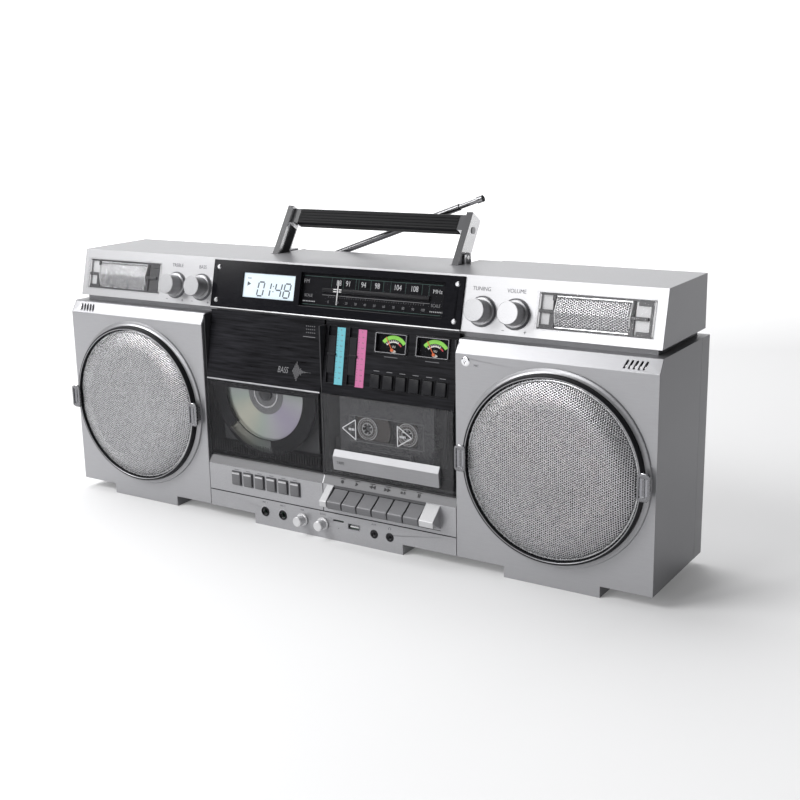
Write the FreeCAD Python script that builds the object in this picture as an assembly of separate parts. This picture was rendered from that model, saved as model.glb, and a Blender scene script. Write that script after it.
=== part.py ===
import FreeCAD, Part
import math
import os

from FreeCAD import Vector

# Portable radio, CD and cassette player with a carrying handle. Millimetres, +Z up, front towards -Y.
# Every sub-part is modelled from the plane of the speaker fronts, Y = 0 there, and saved about the
# middle of the footprint, so that the saved origin is the centre of the middle foot's underside.

# Overall size
WIDTH = 640.0
DEPTH = 115.0
HALF = WIDTH / 2
FOOT = 10.0
WALL = 3.0

# Speaker cabinets
CABINET_INNER_X = 141.0
CABINET_TOP = 204.0
CABINET_BACK = 97.0
CHAMFER_Z = 193.0
CHAMFER_Y = 7.2
FOOT_X = (187.0, 275.0)
VENT_X = (291.0, 307.0)
VENT_COUNT = 5
MIC_HOLE = (150.7, 186.3)
MIC_HOLE_R = 3.2

# Rear cover
HATCH_X = (-110.0, 70.0)
HATCH_Z = (24.0, 96.0)
INLET_X = (150.0, 172.0)
INLET_Z = (28.0, 44.0)
INLET_DEPTH = 10.0
REAR_VENT_X = (190.0, 270.0)
REAR_VENT_Z = 120.0
REAR_VENT_PITCH = 8.0
REAR_VENT_COUNT = 8
COVER_SCREWS = ((300.0, 24.0), (300.0, 190.0), (156.0, 190.0))

# Loudspeakers
SPEAKER_X = 231.5
SPEAKER_Z = 103.9
BAFFLE_R = 79.2
RING_R = 85.2
RING_INNER_R = 77.6
COLLAR_R = 80.6
COLLAR_FRONT = -8.2
GRILLE_FLAT_R = 57.0
GRILLE_FLAT_Y = -11.6
GRILLE_RIM_Y = -4.6
CLIP_X = 81.4
CLIP_SIZE = (10.8, 24.0)

# Middle bay
SPLIT_X = -2.0
BAY_X = 140.5
DOOR_X = 138.5
DOOR_GAP = 1.0
HINGE_Y = 6.0
HINGE_Z = 66.0
HINGE_R = 1.5
DOOR_BOTTOM = 64.5
WINDOW_TOP = 141.0
WINDOW_FRONT = -0.5
PANEL_FOOT = (1.5, 141.2)
PANEL_LENGTH = 67.0
PANEL_LEAN = 10.3
WELL_BACK = 50.0

# Lower front panel
LEDGE_TOP = (4.0, 62.0)
LEDGE_FOOT = (0.0, 54.5)
SEAM_Z = 27.0
MIDDLE_FOOT_X = 85.0
KEY_X = (11.0, 110.0)
KEY_SLOT_Z = (32.5, 54.0)
KEY_PIVOT = (22.0, 46.0)
KEY_RIDGE = (-14.0, 41.5)
KEY_ROD_R = 1.5
KEY_NAMES = ("record_key", "play_key", "rewind_key", "fast_forward_key", "stop_key", "pause_key")
CD_BUTTON_X = -105.8
CD_BUTTON_PITCH = 14.3
CD_BUTTON_SIZE = (10.5, 13.0)
CD_BUTTON_Z = 43.0
BUTTON_COUNT = 6
SOCKET_Z = 14.4
MIC_JACK_X = (-71.8, -50.4)
MIC_JACK_R = 3.25
SMALL_KNOB_X = {"mic_volume_knob": -27.0, "echo_knob": -3.0}
LINE_JACK_X = (54.3, 71.3)
LINE_JACK_R = 1.85
CARD_SLOT = (14.6, 19.8, 12.0, 2.0)
USB_SLOT = (32.0, 17.0, 12.8, 5.2)

# Top cabinet, whose front leans back
TOP_HALF = 316.4
TOP_FOOT = (13.2, 209.2)
TOP_Z = 255.8
TOP_LEAN = 14.0
TOP_BACK = 114.0
TROUGH_Y = 109.0
NECK_INSET = 5.0
BEZEL_X = 138.6
BEZEL_UP = (0.8, 46.3)
LCD_X = (-101.3, -39.4)
LCD_UP = (12.2, 35.9)
DIAL_X = (-33.0, 120.0)
DIAL_UP = (9.0, 40.0)
SCREW_X = 132.0
SCREW_UP = (7.2, 39.2)
KNOB_UP = 18.0
KNOB_X = {"treble_knob": -186.6, "bass_knob": -153.6, "tuning_knob": 157.2, "volume_knob": 188.6}
KNOB_R = 9.8
KNOB_SKIRT_R = 12.0
KNOB_LENGTH = 16.0
NEEDLE_X = 7.4
TWEETER_X = (206.5, 310.0)
TWEETER_UP = (6.0, 40.0)
PRISM_X = (223.0, 288.0)
PRISM_UP = (10.1, 22.8, 35.9)

# Control panel
SLOT_X = (3.0, 26.0)
SLOT_WIDTH = 8.5
SLOT_UP = (10.5, 62.5)
CAP_HEIGHT = 34.0
METER_X = (70.7, 113.2)
METER_SIZE = (33.2, 18.4)
METER_UP = 52.0
SWITCH_X = 57.0
SWITCH_PITCH = 13.6
SWITCH_SIZE = (10.0, 12.6)
SWITCH_UP = 17.0

# Disc and cassette
DISC = (-77.0, 15.0, 129.0)
DISC_R = 60.0
DISC_HOLE_R = 7.5
CASSETTE_X = 63.6
CASSETTE_WIDTH = 100.4
CASSETTE_HEIGHT = 63.8
CASSETTE_FRONT = 9.6
CASSETTE_THICKNESS = 8.8
HUB_SPACING = 42.5
HUB_Z = 110.0
HUB_TO_EDGE = 34.9

# Handle and aerial
HANDLE_PIVOT = (84.0, 261.2)
HANDLE_LEAN = 33.4
HANDLE_LENGTH = 32.2
HANDLE_X = (98.0, 104.5)
GRIP_X = 90.0
ARM_WIDTH = 17.0
ARM_FOOT = 14.0
NOTCH_FRONT = 67.8
NOTCH_FLOOR = 243.0
LUG_X = (105.6, 107.8)
PIVOT_PIN_R = 2.0
AERIAL_PIVOT = (-82.4, 115.5, 244.0)
AERIAL_RISE = 19.65
AERIAL_LENGTH = 200.0
AERIAL_TUBE_END = 174.0
AERIAL_R = 3.2
AERIAL_BORE_R = 2.38


def box(x, y, z):
    """A block between the two limits given for each axis."""
    return Part.makeBox(x[1] - x[0], y[1] - y[0], z[1] - z[0], Vector(x[0], y[0], z[0]))


def rod_x(y, z, radius, x):
    return Part.makeCylinder(radius, x[1] - x[0], Vector(x[0], y, z), Vector(1, 0, 0))


def rod_y(x, z, radius, y):
    return Part.makeCylinder(radius, y[1] - y[0], Vector(x, y[0], z), Vector(0, 1, 0))


def rod_z(x, y, radius, z):
    return Part.makeCylinder(radius, z[1] - z[0], Vector(x, y, z[0]), Vector(0, 0, 1))


def prism_x(outline, x):
    """An outline of (y, z) points drawn along X."""
    points = [Vector(x[0], y, z) for y, z in outline]
    return Part.Face(Part.makePolygon(points + points[:1])).extrude(Vector(x[1] - x[0], 0, 0))


def prism_y(outline, y):
    """An outline of (x, z) points drawn along Y."""
    points = [Vector(x, y[0], z) for x, z in outline]
    return Part.Face(Part.makePolygon(points + points[:1])).extrude(Vector(0, y[1] - y[0], 0))


def turned_y(outline, x, z):
    """An outline of (radius, y) points turned about the line through x and z along Y."""
    points = [Vector(x + r, y, z) for r, y in outline]
    face = Part.Face(Part.makePolygon(points + points[:1]))
    return face.revolve(Vector(x, 0, z), Vector(0, 1, 0), 360)


def joined(first, *others):
    return first.fuse(list(others)).removeSplitter()


def mirrored(shape):
    return shape.mirror(Vector(0, 0, 0), Vector(1, 0, 0))


def leaning(shape, foot, degrees):
    """Lays a shape drawn upright (X, depth, height from 0) on a plane that leans back from foot."""
    moved = shape.translated(Vector(0, foot[0], foot[1]))
    moved.rotate(Vector(0, foot[0], foot[1]), Vector(1, 0, 0), -degrees)
    return moved


def on_top_front(shape):
    return leaning(shape, TOP_FOOT, TOP_LEAN)


def on_panel(shape):
    return leaning(shape, PANEL_FOOT, PANEL_LEAN)


def save(name, shape):
    """Writes one sub-part about the middle of the footprint."""
    placed = shape.translated(Vector(0, -DEPTH / 2, 0))
    placed.exportStep(f"parts/{name}.step")


# Cabinets

def speaker_cabinet():
    """The right-hand cabinet: open at the back, with a round opening, a sloped brow and a foot."""
    outline = [
        (0, FOOT),
        (0, CHAMFER_Z),
        (CHAMFER_Y, CABINET_TOP),
        (CABINET_BACK, CABINET_TOP),
        (CABINET_BACK, FOOT),
    ]
    inner = [
        (WALL, FOOT + WALL),
        (WALL, CHAMFER_Z - 1),
        (CHAMFER_Y + WALL, CABINET_TOP - WALL),
        (CABINET_BACK + 1, CABINET_TOP - WALL),
        (CABINET_BACK + 1, FOOT + WALL),
    ]
    shell = prism_x(outline, (CABINET_INNER_X, HALF))
    shell = shell.cut(prism_x(inner, (CABINET_INNER_X + WALL, HALF - WALL)))
    foot = box(FOOT_X, (0, CABINET_BACK - 1), (0, FOOT + 1))
    cavity_x = (FOOT_X[0] + WALL, FOOT_X[1] - WALL)
    cavity = box(cavity_x, (WALL, CABINET_BACK - 1 - WALL), (WALL, FOOT + WALL + 1))
    shell = shell.fuse(foot).cut(cavity).removeSplitter()
    return shell.cut([rod_y(SPEAKER_X, SPEAKER_Z, BAFFLE_R, (-1, WALL + 1)), *brow_vents()])


def brow_vents():
    """Slanted slots through the brow near the outer corner."""
    pitch = (VENT_X[1] - VENT_X[0]) / (VENT_COUNT - 1)
    vents = []
    for i in range(VENT_COUNT):
        x = VENT_X[0] + i * pitch
        low, high = (x - 1.6, CHAMFER_Z + 2), (x + 0.6, CABINET_TOP - 3)
        vents.append(prism_y([low, (low[0] + 1.6, low[1]), (high[0] + 1.6, high[1]), high], (-1, 12)))
    return vents


def rear_cover():
    """A shallow tray that closes the back, with a battery hatch outline, vents and a mains inlet."""
    inner_x = (WALL - HALF, HALF - WALL)
    shell = box((-HALF, HALF), (CABINET_BACK, DEPTH), (FOOT, CABINET_TOP))
    shell = shell.cut(box(inner_x, (CABINET_BACK - 1, DEPTH - WALL), (FOOT + WALL, CABINET_TOP - WALL)))
    groove = 1.2
    island_x = (HATCH_X[0] + groove, HATCH_X[1] - groove)
    island_z = (HATCH_Z[0] + groove, HATCH_Z[1] - groove)
    hatch = box(HATCH_X, (DEPTH - 0.8, DEPTH + 1), HATCH_Z).cut(
        box(island_x, (DEPTH - 1, DEPTH + 2), island_z)
    )
    inlet = box(INLET_X, (DEPTH - INLET_DEPTH, DEPTH + 1), INLET_Z)
    socket_x = (INLET_X[0] - 2, INLET_X[1] + 2)
    socket = box(socket_x, (DEPTH - INLET_DEPTH - 2, DEPTH), (INLET_Z[0] - 2, INLET_Z[1] + 2))
    middle = ((INLET_X[0] + INLET_X[1]) / 2, (INLET_Z[0] + INLET_Z[1]) / 2)
    pin_y = (DEPTH - INLET_DEPTH - 0.5, DEPTH - 2)
    pins = [rod_y(middle[0] + side * 4, middle[1], 1.2, pin_y) for side in (-1, 1)]
    shell = joined(shell.fuse(socket).cut([inlet, hatch]), *pins)
    return shell.cut(rear_vents())


def rear_vents():
    vents = []
    for side in (-1, 1):
        x = sorted(side * limit for limit in REAR_VENT_X)
        for i in range(REAR_VENT_COUNT):
            z = REAR_VENT_Z + i * REAR_VENT_PITCH
            vents.append(box(x, (DEPTH - WALL - 1, DEPTH + 1), (z, z + 3)))
    return vents


def top_cabinet():
    """The top section on its recessed neck, hollow, with handle notches and an aerial trough."""
    lean = math.tan(math.radians(TOP_LEAN))
    front_top = TOP_FOOT[0] + (TOP_Z - TOP_FOOT[1]) * lean
    outline = [TOP_FOOT, (front_top, TOP_Z), (TOP_BACK, TOP_Z), (TOP_BACK, TOP_FOOT[1])]
    inner = [
        (TOP_FOOT[0] + WALL + 1, TOP_FOOT[1] + WALL),
        (front_top + WALL - 0.6, TOP_Z - WALL),
        (TROUGH_Y - WALL, TOP_Z - WALL),
        (TROUGH_Y - WALL, TOP_FOOT[1] + WALL),
    ]
    shell = prism_x(outline, (-TOP_HALF, TOP_HALF))
    shell = shell.cut(prism_x(inner, (WALL - TOP_HALF, TOP_HALF - WALL)))
    neck_x = (-TOP_HALF + NECK_INSET, TOP_HALF - NECK_INSET)
    neck_y = (TOP_FOOT[0] + NECK_INSET, TOP_BACK - NECK_INSET)
    neck = box(neck_x, neck_y, (CABINET_TOP, TOP_FOOT[1] + 1))
    floor = box(
        (neck_x[0] + WALL, neck_x[1] - WALL),
        (neck_y[0] + WALL, neck_y[1] - WALL),
        (CABINET_TOP - 1, TOP_FOOT[1] + WALL + 1),
    )
    shell = shell.fuse(neck).cut(floor).removeSplitter()
    shell = joined(shell, *handle_lugs())
    return shell.cut(top_front_openings() + handle_notches() + [aerial_trough()])


def top_front_openings():
    openings = [box((-134, 134), (-3, 7), (4, 43))]
    for x in KNOB_X.values():
        openings.append(rod_y(x, KNOB_UP, 3.4, (-3, 8)))
    for side in (-1, 1):
        x = sorted((side * (TWEETER_X[0] + 2), side * (TWEETER_X[1] - 2)))
        openings.append(box(x, (-3, 8), (TWEETER_UP[0] + 2, TWEETER_UP[1] - 2)))
    return [on_top_front(o) for o in openings]


def handle_lugs():
    """Ears on the top, one outside each arm, that its pivot pin turns in."""
    y, z = HANDLE_PIVOT
    lugs = []
    for side in (-1, 1):
        x = sorted((side * LUG_X[0], side * LUG_X[1]))
        ear = rod_x(y, z, 4.4, x).fuse(box(x, (y - 4.4, y + 4.4), (TOP_Z - 1, z)))
        lugs.append(ear.cut(rod_x(y, z, PIVOT_PIN_R + 0.06, (x[0] - 1, x[1] + 1))))
    return lugs


def handle_notches():
    """Slots, open to the top and the back, that the feet of the handle's arms swing in."""
    notches = []
    for side in (-1, 1):
        x = sorted((side * (HANDLE_X[0] - 1.0), side * (HANDLE_X[1] + 0.9)))
        notches.append(box(x, (NOTCH_FRONT, TOP_BACK + 1), (NOTCH_FLOOR, TOP_Z + 1)))
    return notches


def aerial_trough():
    return box((-96.4, 128), (TROUGH_Y, TOP_BACK + 1), (236, TOP_Z + 1))


def center_chassis():
    """The inner frame: side walls, back, shelves and the wall between the disc bay and the tape bay."""
    top = CABINET_TOP - 1
    back = box((-BAY_X, BAY_X), (WELL_BACK, WELL_BACK + 2), (56, top))
    base = box((-BAY_X, BAY_X), (21, CABINET_BACK - 1), (FOOT, FOOT + 2.5))
    shelf = box((-BAY_X, BAY_X), (8.5, WELL_BACK + 1), (57.5, 60))
    divider = box((SPLIT_X - 0.6, SPLIT_X + 0.6), (3, WELL_BACK + 1), (LEDGE_TOP[1] + 0.2, top))
    tape_roof = box((SPLIT_X, BAY_X), (7.5, WELL_BACK + 1), (142.5, 144.5))
    walls = []
    for side in (-1, 1):
        x = sorted((side * BAY_X, side * (BAY_X - 1.5)))
        walls.append(box(x, (3, WELL_BACK + 1), (LEDGE_TOP[1] + 0.2, top)))
        walls.append(box(x, (8.5, WELL_BACK + 1), (57.5, LEDGE_TOP[1] + 1)))
        walls.append(box(x, (21, CABINET_BACK - 1), (FOOT, 58.5)))
    pillar = box((SPLIT_X - 0.6, SPLIT_X + 0.6), (8.5, WELL_BACK + 1), (57.5, LEDGE_TOP[1] + 1))
    frame = joined(back, base, shelf, divider, pillar, tape_roof, *walls)
    return frame.cut(rod_x(HINGE_Y, HINGE_Z, HINGE_R + 0.08, (-BAY_X - 1, BAY_X + 1)))


# Lower front

def lower_front_panel():
    """The silver panel under the doors with its key tray, button holes, sockets and middle foot."""
    outer = [(0, FOOT), LEDGE_FOOT, LEDGE_TOP, (8.2, LEDGE_TOP[1])]
    inner = [
        (8.2, LEDGE_TOP[1] - WALL),
        (LEDGE_TOP[0] + 1.5, LEDGE_TOP[1] - WALL),
        (WALL, LEDGE_FOOT[1] - 1),
        (WALL, FOOT),
    ]
    panel = prism_x(outer + inner, (-BAY_X, BAY_X))
    foot_front = box((-MIDDLE_FOOT_X, MIDDLE_FOOT_X), (0, WALL), (0, FOOT + 1))
    foot_floor = box((-MIDDLE_FOOT_X, MIDDLE_FOOT_X), (0, CABINET_BACK), (0, WALL))
    foot_sides = []
    for side in (-1, 1):
        x = sorted((side * MIDDLE_FOOT_X, side * (MIDDLE_FOOT_X - WALL)))
        foot_sides.append(box(x, (0, CABINET_BACK), (0, FOOT)))
    panel = joined(panel, foot_front, foot_floor, *foot_sides, *key_cheeks(), *key_rod())
    return panel.cut(lower_openings())


def key_cheeks():
    """The wedge-shaped blocks at the two ends of the row of keys."""
    wedge = [(0.5, LEDGE_FOOT[1] - 0.2), KEY_RIDGE, (0.5, 32.0)]
    return [prism_x(wedge, (3.0, KEY_X[0] - 0.3)), prism_x(wedge, (KEY_X[1] + 0.3, 125.0))]


def key_rod():
    """The steel rod that the keys turn on, in two ears behind the panel."""
    y, z = KEY_PIVOT
    ears = [box(x, (WALL - 0.5, y + 3), (z - 4, z + 4)) for x in ((6.5, 9.5), (111.5, 114.5))]
    return [rod_x(y, z, KEY_ROD_R, (7, 114)), *ears]


def lower_openings():
    through = (-1, WALL + 1)
    cuts = [box(KEY_X, through, KEY_SLOT_Z)]
    half_x, half_z = CD_BUTTON_SIZE[0] / 2 + 0.3, CD_BUTTON_SIZE[1] / 2 + 0.3
    for i in range(BUTTON_COUNT):
        x = CD_BUTTON_X + i * CD_BUTTON_PITCH
        cuts.append(box((x - half_x, x + half_x), through, (CD_BUTTON_Z - half_z, CD_BUTTON_Z + half_z)))
    cuts += [rod_y(x, SOCKET_Z, MIC_JACK_R, through) for x in MIC_JACK_X]
    cuts += [rod_y(x, SOCKET_Z, LINE_JACK_R, through) for x in LINE_JACK_X]
    cuts += [rod_y(x, SOCKET_Z, 2.6, through) for x in SMALL_KNOB_X.values()]
    for x, z, wide, high in (CARD_SLOT, USB_SLOT):
        cuts.append(box((x - wide / 2, x + wide / 2), through, (z - high / 2, z + high / 2)))
    cuts.append(box((-BAY_X - 1, BAY_X + 1), (-1, 0.8), (SEAM_Z - 0.5, SEAM_Z + 0.5)))
    cuts.append(box((SPLIT_X - 0.4, SPLIT_X + 0.4), (-1, 0.8), (SEAM_Z, LEDGE_FOOT[1])))
    return cuts


def tape_key(index):
    """One piano key: a wedge in front of the panel on an arm that turns on the rod."""
    width = (KEY_X[1] - KEY_X[0]) / BUTTON_COUNT
    x = (KEY_X[0] + index * width + 0.2, KEY_X[0] + (index + 1) * width - 0.2)
    y, z = KEY_PIVOT
    wedge = [(-0.8, LEDGE_FOOT[1] - 0.6), KEY_RIDGE, (-1.6, 36.2)]
    arm = box(x, (-1.5, y), (z - 3, z + 3)).fuse(rod_x(y, z, 3.0, x))
    return joined(prism_x(wedge, x), arm).cut(rod_x(y, z, KEY_ROD_R + 0.08, (x[0] - 1, x[1] + 1)))


def cd_button(index):
    x = CD_BUTTON_X + index * CD_BUTTON_PITCH
    half_x, half_z = CD_BUTTON_SIZE[0] / 2, CD_BUTTON_SIZE[1] / 2
    cap = box((x - half_x, x + half_x), (-2.2, 4), (CD_BUTTON_Z - half_z, CD_BUTTON_Z + half_z))
    flange_z = (CD_BUTTON_Z - half_z - 1, CD_BUTTON_Z + half_z + 1)
    flange = box((x - half_x - 1, x + half_x + 1), (WALL + 0.3, WALL + 1.5), flange_z)
    front = [e for e in cap.Edges if all(abs(v.Y + 2.2) < 0.01 for v in e.Vertexes)]
    return joined(cap.makeChamfer(0.8, front), flange)


def small_knob(x):
    """A slim knob with a skirt and a short spindle through the panel."""
    outline = [
        (0, -10), (4.2, -10), (4.8, -9.4), (4.8, -2), (6.2, -1.6), (6.2, -0.4), (2.2, -0.4),
        (2.2, 4.6), (0, 4.6),
    ]
    return turned_y(outline, x, SOCKET_Z)


# Dial

def dial_bezel():
    """The black plate across the top front, with windows for the display and the tuning scale."""
    plate = box((-BEZEL_X, BEZEL_X), (-1.6, 0), BEZEL_UP)
    plate = plate.fuse(box((-133.6, 133.6), (-1, 0.8), (4.4, 42.6)))
    windows = [box(LCD_X, (-2, 2), LCD_UP), box(DIAL_X, (-2, 2), DIAL_UP)]
    screws = [rod_y(side * SCREW_X, up, 1.3, (-2, 2)) for side in (-1, 1) for up in SCREW_UP]
    return on_top_front(plate.removeSplitter().cut(windows + screws))


def dial_display():
    """The scale plate behind the bezel with the display module standing on it."""
    plate = box((-112, 126), (3.2, 4.6), (5, 42))
    module = box((LCD_X[0] + 0.4, LCD_X[1] - 0.4), (0.2, 3.4), (LCD_UP[0] + 0.4, LCD_UP[1] - 0.4))
    return on_top_front(joined(plate, module))


def dial_needle():
    pointer = box((NEEDLE_X - 0.4, NEEDLE_X + 0.4), (1.4, 2.0), (12, 34))
    carriage = box((NEEDLE_X - 3, NEEDLE_X + 3), (1.4, 2.6), (32, 39.5))
    return on_top_front(joined(pointer, carriage))


def knob(x):
    """A long knob with a wider skirt at the panel and a spindle through it."""
    front = -KNOB_LENGTH
    outline = [
        (0, front), (KNOB_R - 1, front), (KNOB_R, front + 1), (KNOB_R, -3), (KNOB_SKIRT_R, -2.2),
        (KNOB_SKIRT_R, -0.4), (3, -0.4), (3, 6), (0, 6),
    ]
    return on_top_front(turned_y(outline, x, KNOB_UP))


def panel_screws():
    """The four screws of the bezel and the six of the rear cover."""
    outline = [(0, -2.6), (1.6, -2.6), (2.4, -1.7), (1.2, -1.7), (1.2, 2.4), (0, 2.4)]
    screws = []
    for side in (-1, 1):
        for up in SCREW_UP:
            screws.append(on_top_front(turned_y(outline, side * SCREW_X, up)))
        for x, z in COVER_SCREWS:
            screws.append(rod_y(side * x, z, 2.6, (DEPTH, DEPTH + 0.9)))
    return Part.makeCompound(screws)


# Loudspeakers and tweeters

def speaker_trim_rings():
    """The round surrounds with a proud collar, each with two spring clips over the grille's edge."""
    rings = []
    outline = [
        (RING_INNER_R, COLLAR_FRONT), (COLLAR_R - 0.8, COLLAR_FRONT), (COLLAR_R, COLLAR_FRONT + 0.8),
        (COLLAR_R, -2.8), (RING_R - 2.6, -2.4), (RING_R - 0.6, -1.6), (RING_R, 0),
        (BAFFLE_R - 0.4, 0), (BAFFLE_R - 0.4, 2.6), (RING_INNER_R, 2.6),
    ]
    for side in (-1, 1):
        ring = turned_y(outline, side * SPEAKER_X, SPEAKER_Z)
        clips = [ring_clip(side * SPEAKER_X, end) for end in (-1, 1)]
        rings.append(joined(ring, *clips))
    return Part.makeCompound(rings)


def ring_clip(x, end):
    """A plate in front of the collar on a post outside it."""
    middle = x + end * CLIP_X
    half_x, half_z = CLIP_SIZE[0] / 2, CLIP_SIZE[1] / 2
    plate_x = (middle - half_x, middle + half_x)
    plate = box(plate_x, (-10.4, -8.6), (SPEAKER_Z - half_z, SPEAKER_Z + half_z))
    post_x = sorted((middle - end * 1.4, middle + end * 3.4))
    post = box(post_x, (-9, -1), (SPEAKER_Z - half_z + 5, SPEAKER_Z + half_z - 5))
    return plate.fuse(post)


def speaker_grilles():
    """The domed round grilles with a flat middle, and the folded grilles of the two tweeters."""
    thick = 1.2
    edge = RING_INNER_R - 0.6
    front = [
        (0, GRILLE_FLAT_Y), (GRILLE_FLAT_R, GRILLE_FLAT_Y), (62, GRILLE_FLAT_Y + 0.8),
        (67, GRILLE_FLAT_Y + 2.3), (72, GRILLE_FLAT_Y + 4.4), (edge, GRILLE_RIM_Y),
    ]
    back = [
        (edge, GRILLE_RIM_Y + thick), (edge - thick, GRILLE_RIM_Y + thick), (71.4, GRILLE_FLAT_Y + 5.5),
        (66.4, GRILLE_FLAT_Y + 3.4), (61.6, GRILLE_FLAT_Y + 2.0), (GRILLE_FLAT_R - 0.2, GRILLE_FLAT_Y + thick),
        (0, GRILLE_FLAT_Y + thick),
    ]
    outline = front + back
    grilles = [turned_y(outline, side * SPEAKER_X, SPEAKER_Z) for side in (-1, 1)]
    low, ridge, high = PRISM_UP
    fold = [(2.0, low), (-1.4, ridge), (2.0, high), (3.0, high), (-0.2, ridge), (3.0, low)]
    prism = on_top_front(prism_x(fold, PRISM_X))
    return Part.makeCompound(grilles + [prism, mirrored(prism)])


def speaker_drivers():
    """Basket, cone and magnet of each loudspeaker."""
    outline = [
        (0, 26), (18, 22), (20, 28), (62, 9), (67, 6), (78, 6), (78, 8), (70, 9), (45, 40), (38, 44),
        (38, 66), (0, 66),
    ]
    return Part.makeCompound([turned_y(outline, side * SPEAKER_X, SPEAKER_Z) for side in (-1, 1)])


def tweeter_horns():
    """The trays behind the tweeter openings, with a proud rim and light cheeks at both ends."""
    low, high = TWEETER_UP
    left, right = TWEETER_X
    tray = box((left + 2.3, right - 2.3), (0, 20), (low + 2.3, high - 2.3))
    hollow = box((left + 3.8, right - 3.8), (-3, 18.5), (low + 3.8, high - 3.8))
    rim = box((left, right), (-1.2, -0.05), (low, high)).cut(hollow)
    cheek_x = ((left + 3, left + 15), (right - 15, right - 3))
    cheeks = [box(x, (3, 19), (low + 3, high - 3)) for x in cheek_x]
    bars = [box(x, (0.6, 4), (21.4, 24.4)) for x in cheek_x]
    rail = box((left + 3, right - 3), (12, 19), (22.0, 23.8))
    horn = on_top_front(joined(tray.fuse(rim).cut(hollow), *cheeks, *bars, rail))
    return Part.makeCompound([horn, mirrored(horn)])


# Control panel

def control_panel():
    """The black panel over the tape bay, cut for the sliders, the meters and the buttons."""
    plate = box((SPLIT_X + DOOR_GAP, DOOR_X), (0, 2.5), (0, PANEL_LENGTH))
    cuts = []
    for x in SLOT_X:
        cuts.append(box((x, x + SLOT_WIDTH), (-1, 1.4), SLOT_UP))
        middle = x + SLOT_WIDTH / 2
        cuts.append(box((middle - 1.5, middle + 1.5), (-1, 4), (26, 48)))
    for x in METER_X:
        half_x, half_z = METER_SIZE[0] / 2 + 0.3, METER_SIZE[1] / 2 + 0.2
        cuts.append(box((x - half_x, x + half_x), (-1, 4), (METER_UP - half_z, METER_UP + half_z)))
    half_x, half_z = SWITCH_SIZE[0] / 2 + 0.3, SWITCH_SIZE[1] / 2 + 0.3
    for i in range(BUTTON_COUNT):
        x = SWITCH_X + i * SWITCH_PITCH
        cuts.append(box((x - half_x, x + half_x), (-1, 4), (SWITCH_UP - half_z, SWITCH_UP + half_z)))
    return on_panel(plate.cut(cuts))


def slider_cap(index):
    x = SLOT_X[index] + 0.4
    width = SLOT_WIDTH - 0.8
    middle = x + width / 2
    low = (SLOT_UP[0] + SLOT_UP[1] - CAP_HEIGHT) / 2
    cap = box((x, x + width), (-0.6, 1.1), (low, low + CAP_HEIGHT))
    ridge = box((x, x + width + 1.6), (-2.0, 0), (36.0, 37.6))
    stem = box((middle - 1.2, middle + 1.2), (1, 6), (34.5, 38.5))
    return on_panel(joined(cap, ridge, stem))


def vu_meters():
    """The two level meters' cases, open at the front where the pointers swing."""
    meters = []
    half_x, half_z = METER_SIZE[0] / 2, METER_SIZE[1] / 2
    for x in METER_X:
        case = box((x - half_x, x + half_x), (-1.2, 12), (METER_UP - half_z, METER_UP + half_z))
        hollow_x = (x - half_x + 1, x + half_x - 1)
        case = case.cut(box(hollow_x, (-2, 2.4), (METER_UP - half_z + 1, METER_UP + half_z - 1)))
        meters.append(on_panel(case))
    return Part.makeCompound(meters)


def vu_needle(index):
    """A thin pointer on a small hub, resting towards the left of its scale."""
    x = METER_X[index]
    low = METER_UP - 6.0
    pointer = box((x - 0.3, x + 0.3), (0.9, 1.3), (low, low + 13))
    hub = rod_y(x, low, 1.4, (0.6, 1.6))
    needle = joined(pointer, hub)
    needle.rotate(Vector(x, 0, low), Vector(0, 1, 0), -32)
    return on_panel(needle)


def function_button(index):
    x = SWITCH_X + index * SWITCH_PITCH
    half_x, half_z = SWITCH_SIZE[0] / 2, SWITCH_SIZE[1] / 2
    cap = box((x - half_x, x + half_x), (-2.4, 3.4), (SWITCH_UP - half_z, SWITCH_UP + half_z))
    front = [e for e in cap.Edges if all(abs(v.Y + 2.4) < 0.01 for v in e.Vertexes)]
    flange_z = (SWITCH_UP - half_z - 1, SWITCH_UP + half_z + 1)
    flange = box((x - half_x - 1, x + half_x + 1), (2.8, 4.0), flange_z)
    return on_panel(joined(cap.makeChamfer(0.7, front), flange))


# Disc bay

def cd_door_panel():
    """The black upper part of the disc door, which leans back."""
    plate = on_panel(box((-DOOR_X, SPLIT_X - DOOR_GAP), (0, 2.5), (0, PANEL_LENGTH)))
    tab = box((-DOOR_X + 3, SPLIT_X - DOOR_GAP - 3), (2.2, 4.0), (134, WINDOW_TOP + 2.5))
    return joined(plate, tab)


def door_shell(x, depth):
    """A window with returned edges, hinged on two short pins at its foot."""
    outer = box(x, (WINDOW_FRONT, depth), (DOOR_BOTTOM, WINDOW_TOP))
    inner = box((x[0] + 1.6, x[1] - 1.6), (2.0, depth + 1), (DOOR_BOTTOM + 1.6, WINDOW_TOP + 1))
    above = box(x, (2.0, depth + 1), (WINDOW_TOP - 1, WINDOW_TOP + 1))
    return outer.cut([inner, above])


def hinge_pins(x, left, right):
    """The pins at the two ends of a door's foot, each standing out by the length given."""
    ends = ((x[0] - left, x[0] + 2), (x[1] - 2, x[1] + right))
    return [rod_x(HINGE_Y, HINGE_Z, HINGE_R, end) for end in ends]


def cd_door_window():
    x = (-DOOR_X, SPLIT_X - DOOR_GAP)
    shell = door_shell(x, 8.2)
    return joined(shell, *hinge_pins(x, 1.4, 0.9))


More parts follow.
